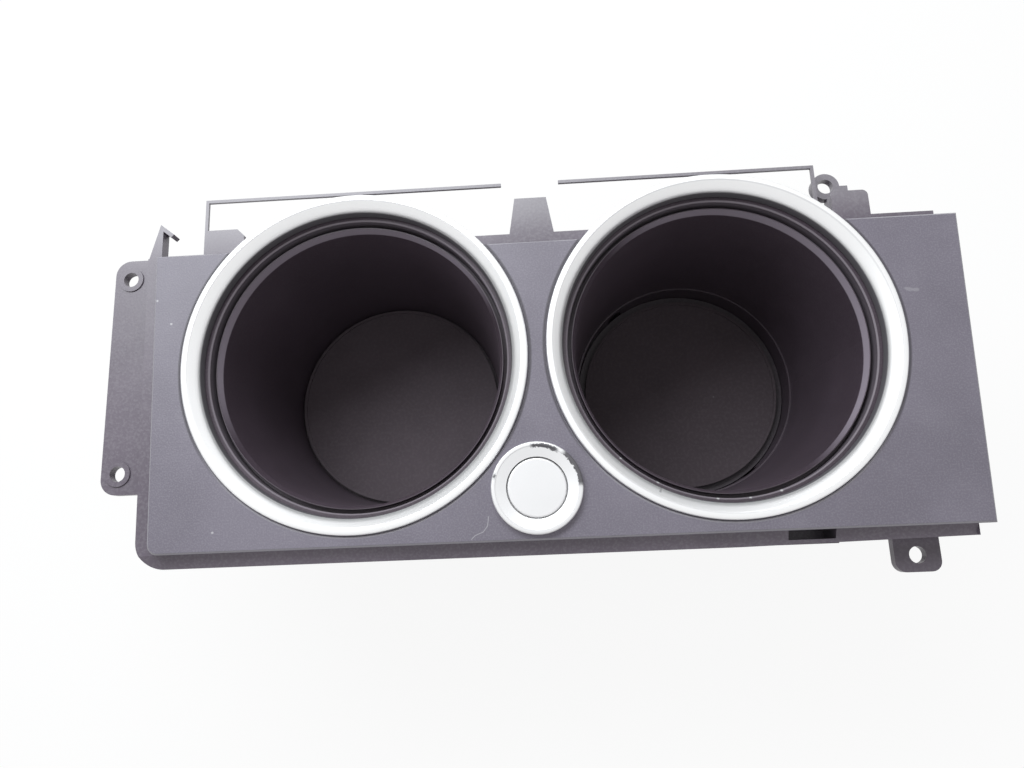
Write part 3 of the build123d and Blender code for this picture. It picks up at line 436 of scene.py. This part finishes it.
# Cup wells: two deep tapered cups, moulded in near-black plastic with a satin inside and
# screwed to the carrier by their ears. Painted light makes one side of each throat's bevel
# paler and the collar wall paler, a painted highlight lies on the collar's rim, and crumbs
# lie on the right-hand collar.
well_light = (0.070, 0.051, 0.068, 1)
well_dark = (0.054, 0.039, 0.052, 1)
well_dust = (0.20, 0.185, 0.20, 1)
bevel_painted_light = (0.30, 0.26, 0.31, 1)
bevel_lit_turn = {"left": 115.0, "right": 40.0}
bevel_cosine = (-0.2, 0.4)
bevel_inset = 0.0080
bevel_width = 0.00078
bevel_lap = 0.0002
bevel_soft = 0.00005
bevel_drop = (0.0089, 0.0085)
collar_painted_light = (0.13, 0.112, 0.132, 1)
collar_inset = 0.0058
collar_edge = 0.0004
collar_soft = 0.0001
collar_drop = (0.0050, 0.0098)
wall_soft = 0.0002
rim_painted_highlight = (0.19, 0.165, 0.19, 1)
rim_drop = (0.0050, 0.0049)
crumb_turns = (-134.3, -118.5, -96.5, -85.0, -73.7)
crumb_inset = 0.0056
crumb_drop = 0.0047
crumb_half = 0.00045
crumb_colour = (0.50, 0.49, 0.50, 1)

for side in ("left", "right"):
    cup_axis = centre_of("mat_" + side)
    ring_r = radius_of("ring_" + side)
    bevel_r, collar_r = ring_r - bevel_inset, ring_r - collar_inset
    well_finish, tree, shader, place, body = moulded_plastic(
        "black_well_" + side,
        well_light,
        well_dark,
        well_dust,
        grain=1800.0,
        height=0.00003,
        rough=0.48,
        dusty=0.5,
    )
    reach, turn = from_axis(tree, place, cup_axis)
    depth = number(tree, "SUBTRACT", panel_top, split(tree, place)[2])
    bevel = number(
        tree,
        "MULTIPLY",
        ease(tree, depth, *bevel_drop),
        band(tree, reach, bevel_r - bevel_lap, bevel_r + bevel_width, bevel_soft),
    )
    away = number(tree, "SUBTRACT", turn, math.radians(bevel_lit_turn[side]))
    facing = ease(tree, number(tree, "COSINE", away), *bevel_cosine)
    wall = number(
        tree,
        "MULTIPLY",
        band(tree, depth, *collar_drop, wall_soft),
        band(tree, reach, collar_r - collar_edge, collar_r + collar_edge, collar_soft),
    )
    rim = number(
        tree,
        "MULTIPLY",
        ease(tree, depth, *rim_drop),
        band(tree, reach, collar_r, collar_r + collar_edge, collar_soft),
    )
    # Painted light: the bevel paler on its lit side and the collar wall paler; a painted highlight
    # on the rim.
    body = tone(tree, number(tree, "MULTIPLY", bevel, facing), body, bevel_painted_light)
    body = tone(tree, wall, body, collar_painted_light)
    body = tone(tree, rim, body, rim_painted_highlight)
    if side == "right":
        crumbs = 0.0
        for degrees in crumb_turns:
            swing = Vector((math.cos(math.radians(degrees)), math.sin(math.radians(degrees)), 0))
            spot = Vector((cup_axis.x, cup_axis.y, panel_top - crumb_drop))
            spot += swing * (ring_r - crumb_inset)
            crumbs = number(tree, "MAXIMUM", crumbs, fleck(tree, place, spot, crumb_half))
        body = tone(tree, crumbs, body, crumb_colour)
    tree.links.new(body, shader.inputs["Base Color"])
    dress("well_" + side, well_finish)

# Lifting floor, base cover and button guide: hidden mouldings of the same black plastic,
# left as they came from the tool, with a coarser and duller grain than the wells.
# The floor slides in the right-hand well, and screws hold the other two.
works_light = (0.057, 0.046, 0.056, 1)
works_dark = (0.043, 0.035, 0.042, 1)
works_finish = moulded_plastic(
    "black_works",
    works_light,
    works_dark,
    well_dust,
    grain=1200.0,
    height=0.00004,
    rough=0.55,
    dusty=0.5,
)[0]
for moulding in ("floor_platform", "base_cover", "button_guide"):
    dress(moulding, works_finish)

# Rubber mats: soft discs that lie loose on the two floors and lift out for washing.
# The rubber is dull and dark; painted shade darkens the right-hand one, which has one crumb.
# The right-hand tones are darker than the left-hand ones as painted shade.
mat_tones_right_shaded = {
    "left": ((0.098, 0.077, 0.091, 1), (0.078, 0.060, 0.072, 1)),
    "right": ((0.079, 0.060, 0.071, 1), (0.062, 0.047, 0.056, 1)),
}
mat_dust = (0.22, 0.20, 0.21, 1)
mat_crumb = (0.0659, 0.0030)
mat_crumb_half = 0.0007
mat_crumb_share = 0.6
for side, (mat_light, mat_dark) in mat_tones_right_shaded.items():
    mat_finish, tree, shader, place, body = moulded_plastic(
        "dusty_rubber_" + side,
        mat_light,
        mat_dark,
        mat_dust,
        grain=900.0,
        height=0.00006,
        rough=0.82,
        dusty=0.5,
    )
    if side == "right":
        crumb = fleck(tree, place, (*mat_crumb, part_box("mat_right")[1].z), mat_crumb_half)
        crumb = number(tree, "MULTIPLY", crumb, mat_crumb_share)
        tree.links.new(tone(tree, crumb, body, crumb_colour), shader.inputs["Base Color"])
    dress("mat_" + side, mat_finish)

# Trim rings: plastic rings with satin silver paint, snapped into the panel round each mouth.
# Fine flake shows in the paint, a thin line of painted shade lies along the crest,
# and the paint stops short of the inner edge; the right-hand one has a scratch.
ring_light = (0.93, 0.93, 0.935, 1)
ring_dark = (0.87, 0.868, 0.875, 1)
ring_metal = 0.65
ring_crest_painted_shade = (0.42, 0.415, 0.43, 1)
ring_band = 0.0046
crest_out = (0.0027, 0.0031)
crest_soft = 0.00012
crest_share = 0.4
brow_round = 0.0009
brow_samples = 8
brow_out = (0.00154, 0.0022)
bare_plastic = (0.10, 0.095, 0.105, 1)
paint_out = (0.00045, 0.0002)
scratch_turns = (-117.4, -116.6)
scratch_turn_soft = 0.2
scratch_out = (0.0001, 0.0017)
scratch_out_soft = 0.0002
scratch_share = 0.7


def silver_paint(name, light, dark):
    """Satin silver lacquer over plastic, with fine flake and a slow drift of its tone."""
    flake_scale, flake_share, flake_relief, flake_height = 5200.0, 0.6, 0.25, 0.00001
    drift_scale, drift_share = 60.0, 0.4
    rough_least, rough_swing = 0.28, 0.12
    made, tree, shader, place = new_finish(name)
    flake = cloud(tree, place, flake_scale, detail=1.0)
    drift = cloud(tree, place, drift_scale, detail=3.0)
    drifted = number(tree, "MULTIPLY", drift, drift_share)
    share = number(tree, "MULTIPLY_ADD", flake, flake_share, drifted)
    body = tone(tree, share, dark, light)
    bump = put(
        tree,
        "ShaderNodeBump",
        {"Height": flake, "Strength": flake_relief, "Distance": flake_height},
    )
    tree.links.new(bump.outputs[0], shader.inputs["Normal"])
    rough = number(tree, "MULTIPLY_ADD", drift, rough_swing, rough_least)
    return made, tree, shader, place, body, rough, bump


def chip(tree, shader, body, rough, worn, metal):
    """Let the dark plastic under the paint show where it is worn through."""
    bare_rougher = 0.25
    whole = number(tree, "SUBTRACT", 1.0, worn)
    dulled = number(tree, "MULTIPLY_ADD", worn, bare_rougher, rough)
    tree.links.new(tone(tree, worn, body, bare_plastic), shader.inputs["Base Color"])
    tree.links.new(number(tree, "MULTIPLY", whole, metal), shader.inputs["Metallic"])
    tree.links.new(dulled, shader.inputs["Roughness"])


for ring in ("ring_left", "ring_right"):
    ring_finish, tree, shader, place, body, rough, bump = silver_paint(
        "silver_" + ring, ring_light, ring_dark
    )
    reach, turn = from_axis(tree, place, centre_of(ring))
    out = number(tree, "SUBTRACT", reach, radius_of(ring) - ring_band)
    plain = put(tree, "ShaderNodeNewGeometry").outputs["Normal"]
    rounded = put(tree, "ShaderNodeBevel", {"Radius": brow_round}, samples=brow_samples)
    soft = put(
        tree,
        "ShaderNodeMix",
        {0: ease(tree, out, *brow_out), 4: plain, 5: rounded.outputs[0]},
        data_type="VECTOR",
    )
    tree.links.new(soft.outputs[1], bump.inputs["Normal"])
    # A thin line of painted shade along the crest.
    crest = number(tree, "MULTIPLY", band(tree, out, *crest_out, crest_soft), crest_share)
    body = tone(tree, crest, body, ring_crest_painted_shade)
    worn = ease(tree, out, *paint_out)
    if ring == "ring_right":
        first, last = (math.radians(degrees) for degrees in scratch_turns)
        scratch = number(
            tree,
            "MULTIPLY",
            band(tree, turn, first, last, math.radians(scratch_turn_soft)),
            band(tree, out, *scratch_out, scratch_out_soft),
        )
        worn = number(tree, "MAXIMUM", worn, number(tree, "MULTIPLY", scratch, scratch_share))
    chip(tree, shader, body, rough, worn, ring_metal)
    dress(ring, ring_finish)

# Button bezel: a silver painted collar snapped into the panel, with the cap sunk in its middle.
# Fingers and cups have worn the paint off its rear and right edge, down to the dark plastic.
# Each worn patch runs between two turns in degrees and two shares of the bezel's radius.
button_light = (0.83, 0.825, 0.835, 1)
button_dark = (0.77, 0.765, 0.775, 1)
button_metal = 0.5
bezel_patches = ((59, 96, 0.87, 0.95), (1, 50, 0.90, 1.3), (160, 166, 0.92, 0.97))
patch_turn_soft = 4.0
patch_reach_soft = 0.0001
patch_ragged = 0.0016
patch_ragged_scale = 1500.0
patch_ragged_turn = 60.0
bezel_r = radius_of("button_bezel")
bezel_finish, tree, shader, place, body, rough, _ = silver_paint(
    "worn_silver_bezel", button_light, button_dark
)
reach, turn = from_axis(tree, place, centre_of("button_bezel"))
jitter = cloud(tree, place, patch_ragged_scale, detail=4.0, roughness=0.6)
ragged = number(tree, "MULTIPLY", number(tree, "SUBTRACT", jitter, 0.5), patch_ragged)
ragged_reach = number(tree, "ADD", reach, ragged)
ragged_turn = number(tree, "MULTIPLY_ADD", ragged, patch_ragged_turn, turn)
worn = 0.0
for first, last, inner, outer in bezel_patches:
    first, last, soft = (math.radians(degrees) for degrees in (first, last, patch_turn_soft))
    patch = number(
        tree,
        "MULTIPLY",
        band(tree, ragged_turn, first, last, soft),
        band(tree, ragged_reach, bezel_r * inner, bezel_r * outer, patch_reach_soft),
    )
    worn = number(tree, "MAXIMUM", worn, patch)
chip(tree, shader, body, rough, worn, button_metal)
dress("button_bezel", bezel_finish)

# Push button: a silver painted cap with a soft edge, held in the bezel by its own flange.
# Its paint is the same as the bezel's, and is still whole.
cap_finish, tree, shader, _, body, rough, _ = silver_paint(
    "silver_cap", button_light, button_dark
)
shader.inputs["Metallic"].default_value = button_metal
tree.links.new(body, shader.inputs["Base Color"])
tree.links.new(rough, shader.inputs["Roughness"])
dress("button_cap", cap_finish)

# Push rod: a turned rod of natural acetal, pressed into the cap and sliding in its guide.
# The plastic is off-white and waxy, with faint turning lines round it.
acetal_light = (0.68, 0.665, 0.61, 1)
acetal_dark = (0.60, 0.585, 0.53, 1)
acetal_rough = 0.38
turning_scale = 900.0
turning_waver = 0.6
turning_relief = 0.3
turning_depth = 0.00002
rod_finish, tree, shader, place = new_finish("natural_acetal", Roughness=acetal_rough)
turned = put(
    tree,
    "ShaderNodeTexWave",
    {"Vector": place, "Scale": turning_scale, "Distortion": turning_waver},
    bands_direction="Z",
).outputs["Fac"]
bump = put(
    tree,
    "ShaderNodeBump",
    {"Height": turned, "Strength": turning_relief, "Distance": turning_depth},
)
tree.links.new(tone(tree, turned, acetal_dark, acetal_light), shader.inputs["Base Color"])
tree.links.new(bump.outputs[0], shader.inputs["Normal"])
dress("push_rod", rod_finish)

# Lift spring and button spring: coils of zinc-plated wire with their end turns wound closed.
# Each stands between a seat of the housing and the underside of what it pushes up.
zinc_light = (0.66, 0.67, 0.68, 1)
zinc_dark = (0.46, 0.47, 0.49, 1)
zinc_scale = 700.0
zinc_rough_least = 0.22
zinc_rough_swing = 0.25
lift_wire_r = 0.0008
lift_turns = 3.0
button_wire_r = 0.00045
button_turns = 3.0
foot_turns = 1.0
end_turns = 2.0
points_a_turn = 48
wire_sides = 12
wire_sharp = 40
zinc_finish, tree, shader, place = new_finish("zinc_plate", Metallic=1.0)
plating = cloud(tree, place, zinc_scale, detail=4.0, roughness=0.6)
zinc_rough = number(tree, "MULTIPLY_ADD", plating, zinc_rough_swing, zinc_rough_least)
tree.links.new(tone(tree, plating, zinc_dark, zinc_light), shader.inputs["Base Color"])
tree.links.new(zinc_rough, shader.inputs["Roughness"])


def recipe(name, sizes):
    """An empty tree of geometry nodes with named inputs; gives it, their keys and their sockets."""
    made = bpy.data.node_groups.new(name, "GeometryNodeTree")
    made.interface.new_socket("Geometry", in_out="INPUT", socket_type="NodeSocketGeometry")
    keys = {
        label: made.interface.new_socket(label, in_out="INPUT", socket_type=kind).identifier
        for label, kind in sizes.items()
    }
    made.interface.new_socket("Geometry", in_out="OUTPUT", socket_type="NodeSocketGeometry")
    return made, keys, made.nodes.new("NodeGroupInput").outputs


def serve(tree, shape, material):
    """End a tree: its instances made real, with one material."""
    real = put(tree, "GeometryNodeRealizeInstances", {0: shape}).outputs[0]
    dressed = put(tree, "GeometryNodeSetMaterial", {"Geometry": real, "Material": material})
    tree.links.new(dressed.outputs[0], tree.nodes.new("NodeGroupOutput").inputs[0])


def cook(name, tree, keys, points, sharp, **values):
    """Run a tree on some points and keep the result as a plain mesh, smooth up to an angle."""
    seed_mesh = bpy.data.meshes.new(name + "_seed")
    seed_mesh.from_pydata([tuple(point) for point in points], [], [])
    seed = bpy.data.objects.new(name + "_seed", seed_mesh)
    scene.collection.objects.link(seed)
    modifier = seed.modifiers.new("make", "NODES")
    modifier.node_group = tree
    for label, value in values.items():
        modifier[keys[label.replace("_", " ")]] = value
    depsgraph = bpy.context.evaluated_depsgraph_get()
    mesh = bpy.data.meshes.new_from_object(seed.evaluated_get(depsgraph))
    bpy.data.objects.remove(seed)
    mesh.shade_smooth()
    mesh.set_sharp_from_angle(angle=math.radians(sharp))
    piece = bpy.data.objects.new(name, mesh)
    scene.collection.objects.link(piece)
    return piece


spring_tree, spring_keys, given = recipe(
    "closed_end_spring",
    {
        "Coil Radius": "NodeSocketFloat",
        "Wire Radius": "NodeSocketFloat",
        "Rise": "NodeSocketFloat",
        "Open Turns": "NodeSocketFloat",
        "Place": "NodeSocketVector",
        "Material": "NodeSocketMaterial",
    },
)
tree = spring_tree
open_turns = given["Open Turns"]
all_turns = number(tree, "ADD", open_turns, end_turns)
wire = number(tree, "MULTIPLY", given["Wire Radius"], 2.0)
spiral = put(
    tree,
    "GeometryNodeCurveSpiral",
    {
        "Resolution": points_a_turn,
        "Rotations": all_turns,
        "Start Radius": given["Coil Radius"],
        "End Radius": given["Coil Radius"],
        "Height": 0.0,
    },
)
along = put(tree, "GeometryNodeSplineParameter").outputs["Factor"]
wound = number(tree, "MULTIPLY", along, all_turns)
past_foot = number(tree, "MAXIMUM", number(tree, "SUBTRACT", wound, foot_turns), 0.0)
opened = number(tree, "MINIMUM", past_foot, open_turns)
closed = number(tree, "SUBTRACT", wound, opened)
closed_rise = number(tree, "MULTIPLY", wire, end_turns)
open_rise = number(tree, "SUBTRACT", given["Rise"], closed_rise)
pitch = number(tree, "DIVIDE", open_rise, open_turns)
climb = number(tree, "MULTIPLY_ADD", opened, pitch, number(tree, "MULTIPLY", closed, wire))
lift = put(tree, "ShaderNodeCombineXYZ", {2: climb}).outputs[0]
helix = put(tree, "GeometryNodeSetPosition", {"Geometry": spiral.outputs[0], "Offset": lift})
section = put(
    tree,
    "GeometryNodeCurvePrimitiveCircle",
    {"Resolution": wire_sides, "Radius": given["Wire Radius"]},
)
coil = put(
    tree,
    "GeometryNodeCurveToMesh",
    {"Curve": helix.outputs[0], "Profile Curve": section.outputs[0], "Fill Caps": True},
)
stood = put(
    tree, "GeometryNodeTransform", {"Geometry": coil.outputs[0], "Translation": given["Place"]}
)
serve(tree, stood.outputs[0], given["Material"])
for node, body_name, wire_r, turns in (
    ("lift_spring", "lifting_floor", lift_wire_r, lift_turns),
    ("button_spring", "button", button_wire_r, button_turns),
):
    low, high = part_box(node)
    middle = centre_of(node)
    spring = cook(
        "coiled_" + node,
        spring_tree,
        spring_keys,
        [(0, 0, 0)],
        wire_sharp,
        Coil_Radius=radius_of(node) - wire_r,
        Wire_Radius=wire_r,
        Rise=high.z - low.z - 2 * wire_r,
        Open_Turns=turns,
        Place=Vector((middle.x, middle.y, low.z + wire_r)),
        Material=zinc_finish,
    )
    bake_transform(spring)
    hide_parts(node)

# Catch strip: one piece of bent spring steel, screwed to the right-hand well.
# Its nose holds the lifting floor down, and the rod bends its long tongue to free it.
strip_thickness = 0.0006
strip_width = 0.008
strip_edge = 0.00012
strip_bend = 0.0008
strip_bend_steps = 6
strip_step = 0.0012
strip_sharp = 35
pad_reach = 0.0416
nose_reach = 0.0347
nose_level = 0.0123
nose_brow = 0.0020
nose_slope = 0.0047
tongue_end = 0.006
steel_light = (0.60, 0.60, 0.60, 1)
steel_dark = (0.42, 0.41, 0.40, 1)
steel_straw = (0.36, 0.32, 0.27, 1)
straw_scale = 160.0
straw_span = (0.5, 0.8)
straw_share = 0.5
rolled_scale = (2500.0, 2500.0, 90.0)
steel_rough_least = 0.24
steel_rough_swing = 0.2
rod_axis = Vector((*centre_of("push_rod").xy, 0))
to_well = Vector((*centre_of("mat_right").xy, 0)) - rod_axis
well_reach = to_well.length
to_well.normalize()
across = Vector((0, 0, 1)).cross(to_well)
low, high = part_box("catch_spring")
strip_line = well_reach - pad_reach - strip_thickness / 2
nose_line = well_reach - nose_reach
tongue_level = high.z - strip_thickness / 2
bends = [
    Vector((reach, 0, level))
    for reach, level in (
        (strip_line, low.z),
        (strip_line, nose_level),
        (nose_line, nose_level),
        (nose_line, nose_level + nose_brow),
        (strip_line, nose_level + nose_slope),
        (strip_line, tongue_level),
        (-tongue_end, tongue_level),
    )
]
line = [bends[0]]
for before, corner, after in zip(bends, bends[1:], bends[2:]):
    back, on = (before - corner).normalized(), (after - corner).normalized()
    half = back.angle(on) / 2
    centre = corner + (back + on).normalized() * strip_bend / math.sin(half)
    start = (corner + back * strip_bend / math.tan(half) - centre).normalized()
    end = (corner + on * strip_bend / math.tan(half) - centre).normalized()
    for index in range(strip_bend_steps + 1):
        line.append(centre + start.slerp(end, index / strip_bend_steps) * strip_bend)
line.append(bends[-1])
spaced = [line[0]]
for before, after in zip(line, line[1:]):
    runs = max(1, math.ceil((after - before).length / strip_step))
    spaced += [before.lerp(after, share / runs) for share in range(1, runs + 1)]
thick, wide = strip_thickness / 2, strip_width / 2
rim = [
    (thick, wide - strip_edge),
    (thick, strip_edge - wide),
    (thick - strip_edge, -wide),
    (strip_edge - thick, -wide),
    (-thick, strip_edge - wide),
    (-thick, wide - strip_edge),
    (strip_edge - thick, wide),
    (thick - strip_edge, wide),
]
strip_mesh = bpy.data.meshes.new("bent_catch_strip")
sheet = bmesh.new()
loops = []
for index, spot in enumerate(spaced):
    ahead = spaced[min(index + 1, len(spaced) - 1)] - spaced[max(index - 1, 0)]
    off = Vector((ahead.z, 0, -ahead.x)).normalized()
    loop = []
    for depth, side in rim:
        level = Vector((0, 0, spot.z + off.z * depth))
        corner = rod_axis + to_well * (spot.x + off.x * depth) + across * side + level
        loop.append(sheet.verts.new(corner))
    loops.append(loop)
for first, second in zip(loops, loops[1:]):
    for index in range(len(rim)):
        following = (index + 1) % len(rim)
        sheet.faces.new((first[index], first[following], second[following], second[index]))
sheet.faces.new(loops[0])
sheet.faces.new(loops[-1])
bmesh.ops.recalc_face_normals(sheet, faces=sheet.faces)
sheet.to_mesh(strip_mesh)
sheet.free()
strip_mesh.shade_smooth()
strip_mesh.set_sharp_from_angle(angle=math.radians(strip_sharp))
strip_finish, tree, shader, place = new_finish("spring_strip", Metallic=1.0)
rolled = put(tree, "ShaderNodeMapping", {"Vector": place, "Scale": rolled_scale})
lines = cloud(tree, rolled.outputs[0], 1.0, detail=3.0)
straw = ease(tree, cloud(tree, place, straw_scale), *straw_span, 0.0, straw_share)
steel = tone(tree, straw, tone(tree, lines, steel_dark, steel_light), steel_straw)
steel_rough = number(tree, "MULTIPLY_ADD", lines, steel_rough_swing, steel_rough_least)
tree.links.new(steel, shader.inputs["Base Color"])
tree.links.new(steel_rough, shader.inputs["Roughness"])
strip_mesh.materials.append(strip_finish)
strip = bpy.data.objects.new("bent_catch_strip", strip_mesh)
scene.collection.objects.link(strip)
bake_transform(strip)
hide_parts("catch_spring")

# Screws: zinc-plated, with a pan head, a cross recess and a thread that cuts its own way.
# They hold the wells, the button guide, the panel, the base cover and the catch strip.
head_height = 0.0022
head_drawn_in = 0.2
head_draw_power = 3.0
head_dome = 0.16
head_sides = 40
head_rows = 8
head_rings = 4
cross_length = 1.1
cross_width = 0.26
cross_depth = 1.2
shank_r = 0.0016
shank_sides = 16
core_share = 0.8
point_share = 0.3
screw_tip = 0.0013
thread_pitch = 0.0012
thread_line_share = 0.84
thread_ridge_share = 0.16
thread_points = 20
thread_sides = 3
turn_seed = 7
screw_sharp = 35
screws_apart = 0.008
screw_tree, screw_keys, given = recipe(
    "pan_head_screw",
    {
        "Head Radius": "NodeSocketFloat",
        "Head Height": "NodeSocketFloat",
        "Shank Radius": "NodeSocketFloat",
        "Thread Length": "NodeSocketFloat",
        "Thread Pitch": "NodeSocketFloat",
        "Tip": "NodeSocketFloat",
        "Turn": "NodeSocketVector",
        "Place": "NodeSocketVector",
        "Material": "NodeSocketMaterial",
    },
)
tree = screw_tree


def raised(tree, shape, level):
    """A shape moved up the screw's axis."""
    lift = put(tree, "ShaderNodeCombineXYZ", {2: level}).outputs[0]
    made = put(tree, "GeometryNodeTransform", {"Geometry": shape, "Translation": lift})
    return made.outputs[0]


head_r, head_h = given["Head Radius"], given["Head Height"]
thread_length = given["Thread Length"]
blank = put(
    tree,
    "GeometryNodeMeshCylinder",
    {
        "Vertices": head_sides,
        "Side Segments": head_rows,
        "Fill Segments": head_rings,
        "Radius": head_r,
        "Depth": head_h,
    },
)
x, y, z = split(tree, put(tree, "GeometryNodeInputPosition").outputs[0])
free_end = number(tree, "SUBTRACT", 0.5, number(tree, "DIVIDE", z, head_h))
squares = number(tree, "MULTIPLY_ADD", x, x, number(tree, "MULTIPLY", y, y))
spread = number(tree, "DIVIDE", squares, number(tree, "MULTIPLY", head_r, head_r))
drawn = number(tree, "POWER", free_end, head_draw_power)
curl = number(tree, "MULTIPLY_ADD", drawn, -head_drawn_in, 1.0)
domed = number(tree, "MULTIPLY", number(tree, "MULTIPLY", spread, free_end), head_dome)
pan = put(
    tree,
    "ShaderNodeCombineXYZ",
    {
        0: number(tree, "MULTIPLY", x, curl),
        1: number(tree, "MULTIPLY", y, curl),
        2: number(tree, "MULTIPLY_ADD", domed, head_h, z),
    },
)
head = put(
    tree, "GeometryNodeSetPosition", {"Geometry": blank.outputs[0], "Position": pan.outputs[0]}
)
whole_head = raised(tree, head.outputs[0], number(tree, "MULTIPLY", head_h, 0.5))
cross = put(tree, "GeometryNodeMeshBoolean", {"Mesh 1": whole_head}, operation="DIFFERENCE")
long_arm = number(tree, "MULTIPLY", head_r, cross_length)
slim_arm = number(tree, "MULTIPLY", head_r, cross_width)
sunk = number(tree, "MULTIPLY", head_h, cross_depth)
for arm in ((long_arm, slim_arm), (slim_arm, long_arm)):
    size = put(tree, "ShaderNodeCombineXYZ", {0: arm[0], 1: arm[1], 2: sunk})
    block = put(tree, "GeometryNodeMeshCube", {"Size": size.outputs[0]})
    tree.links.new(block.outputs[0], cross.inputs["Mesh 2"])
core_r = number(tree, "MULTIPLY", given["Shank Radius"], core_share)
core = put(
    tree,
    "GeometryNodeMeshCylinder",
    {"Vertices": shank_sides, "Radius": core_r, "Depth": thread_length},
)
point = put(
    tree,
    "GeometryNodeMeshCone",
    {
        "Vertices": shank_sides,
        "Radius Top": number(tree, "MULTIPLY", core_r, point_share),
        "Radius Bottom": core_r,
        "Depth": given["Tip"],
    },
)
thread_r = number(tree, "MULTIPLY", given["Shank Radius"], thread_line_share)
thread_line = put(
    tree,
    "GeometryNodeCurveSpiral",
    {
        "Resolution": thread_points,
        "Rotations": number(tree, "DIVIDE", thread_length, given["Thread Pitch"]),
        "Start Radius": thread_r,
        "End Radius": thread_r,
        "Height": thread_length,
    },
)
ridge_r = number(tree, "MULTIPLY", given["Shank Radius"], thread_ridge_share)
ridge = put(
    tree, "GeometryNodeCurvePrimitiveCircle", {"Resolution": thread_sides, "Radius": ridge_r}
)
thread = put(
    tree,
    "GeometryNodeCurveToMesh",
    {"Curve": thread_line.outputs[0], "Profile Curve": ridge.outputs[0], "Fill Caps": True},
)
whole = put(tree, "GeometryNodeJoinGeometry")
for shape in (
    raised(tree, thread.outputs[0], head_h),
    raised(tree, point.outputs[0], number(tree, "ADD", thread_length, head_h)),
    raised(tree, core.outputs[0], number(tree, "MULTIPLY_ADD", thread_length, 0.5, head_h)),
    cross.outputs[0],
):
    tree.links.new(shape, whole.inputs[0])
driven = put(
    tree, "FunctionNodeRandomValue", {3: math.tau, "Seed": turn_seed}, data_type="FLOAT"
)
row = put(
    tree,
    "GeometryNodeInstanceOnPoints",
    {
        "Points": given["Geometry"],
        "Instance": whole.outputs[0],
        "Rotation": put(tree, "ShaderNodeCombineXYZ", {2: driven.outputs[1]}).outputs[0],
    },
)
seated = put(
    tree,
    "GeometryNodeTransform",
    {"Geometry": row.outputs[0], "Translation": given["Place"], "Rotation": given["Turn"]},
)
serve(tree, seated.outputs[0], given["Material"])


def drive(node, points, radius, length, turn, place):
    """Screws of one use, in place of their CAD node."""
    screws = cook(
        "pan_head_" + node,
        screw_tree,
        screw_keys,
        points,
        screw_sharp,
        Head_Radius=radius,
        Head_Height=head_height,
        Shank_Radius=shank_r,
        Thread_Length=length - head_height - screw_tip,
        Thread_Pitch=thread_pitch,
        Tip=screw_tip,
        Turn=turn,
        Place=place,
        Material=zinc_finish,
    )
    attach(screws, "housing")
    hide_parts(node)


for node in ("well_screws", "guide_screws", "panel_screws", "cover_screws"):
    groups = []
    for vertex in nodes[node].data.vertices:
        for group in groups:
            if (vertex.co.xy - group[0].xy).length < screws_apart:
                group.append(vertex.co)
                break
        else:
            groups.append([vertex.co])
    heads = []
    for group in groups:
        xs, ys, zs = zip(*group)
        heads.append(((min(xs) + max(xs)) / 2, (min(ys) + max(ys)) / 2, min(zs)))
    drive(node, heads, (max(xs) - min(xs)) / 2, max(zs) - min(zs), (0, 0, 0), (0, 0, 0))
low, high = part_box("catch_screw")
runs = [vertex.co.dot(to_well) for vertex in nodes["catch_screw"].data.vertices]
sides = [vertex.co.dot(across) for vertex in nodes["catch_screw"].data.vertices]
catch_level = Vector((0, 0, (low.z + high.z) / 2))
drive(
    "catch_screw",
    [(0, 0, 0)],
    (high.z - low.z) / 2,
    max(runs) - min(runs),
    to_well.to_track_quat("Z", "Y").to_euler(),
    to_well * min(runs) + across * (min(sides) + max(sides)) / 2 + catch_level,
)
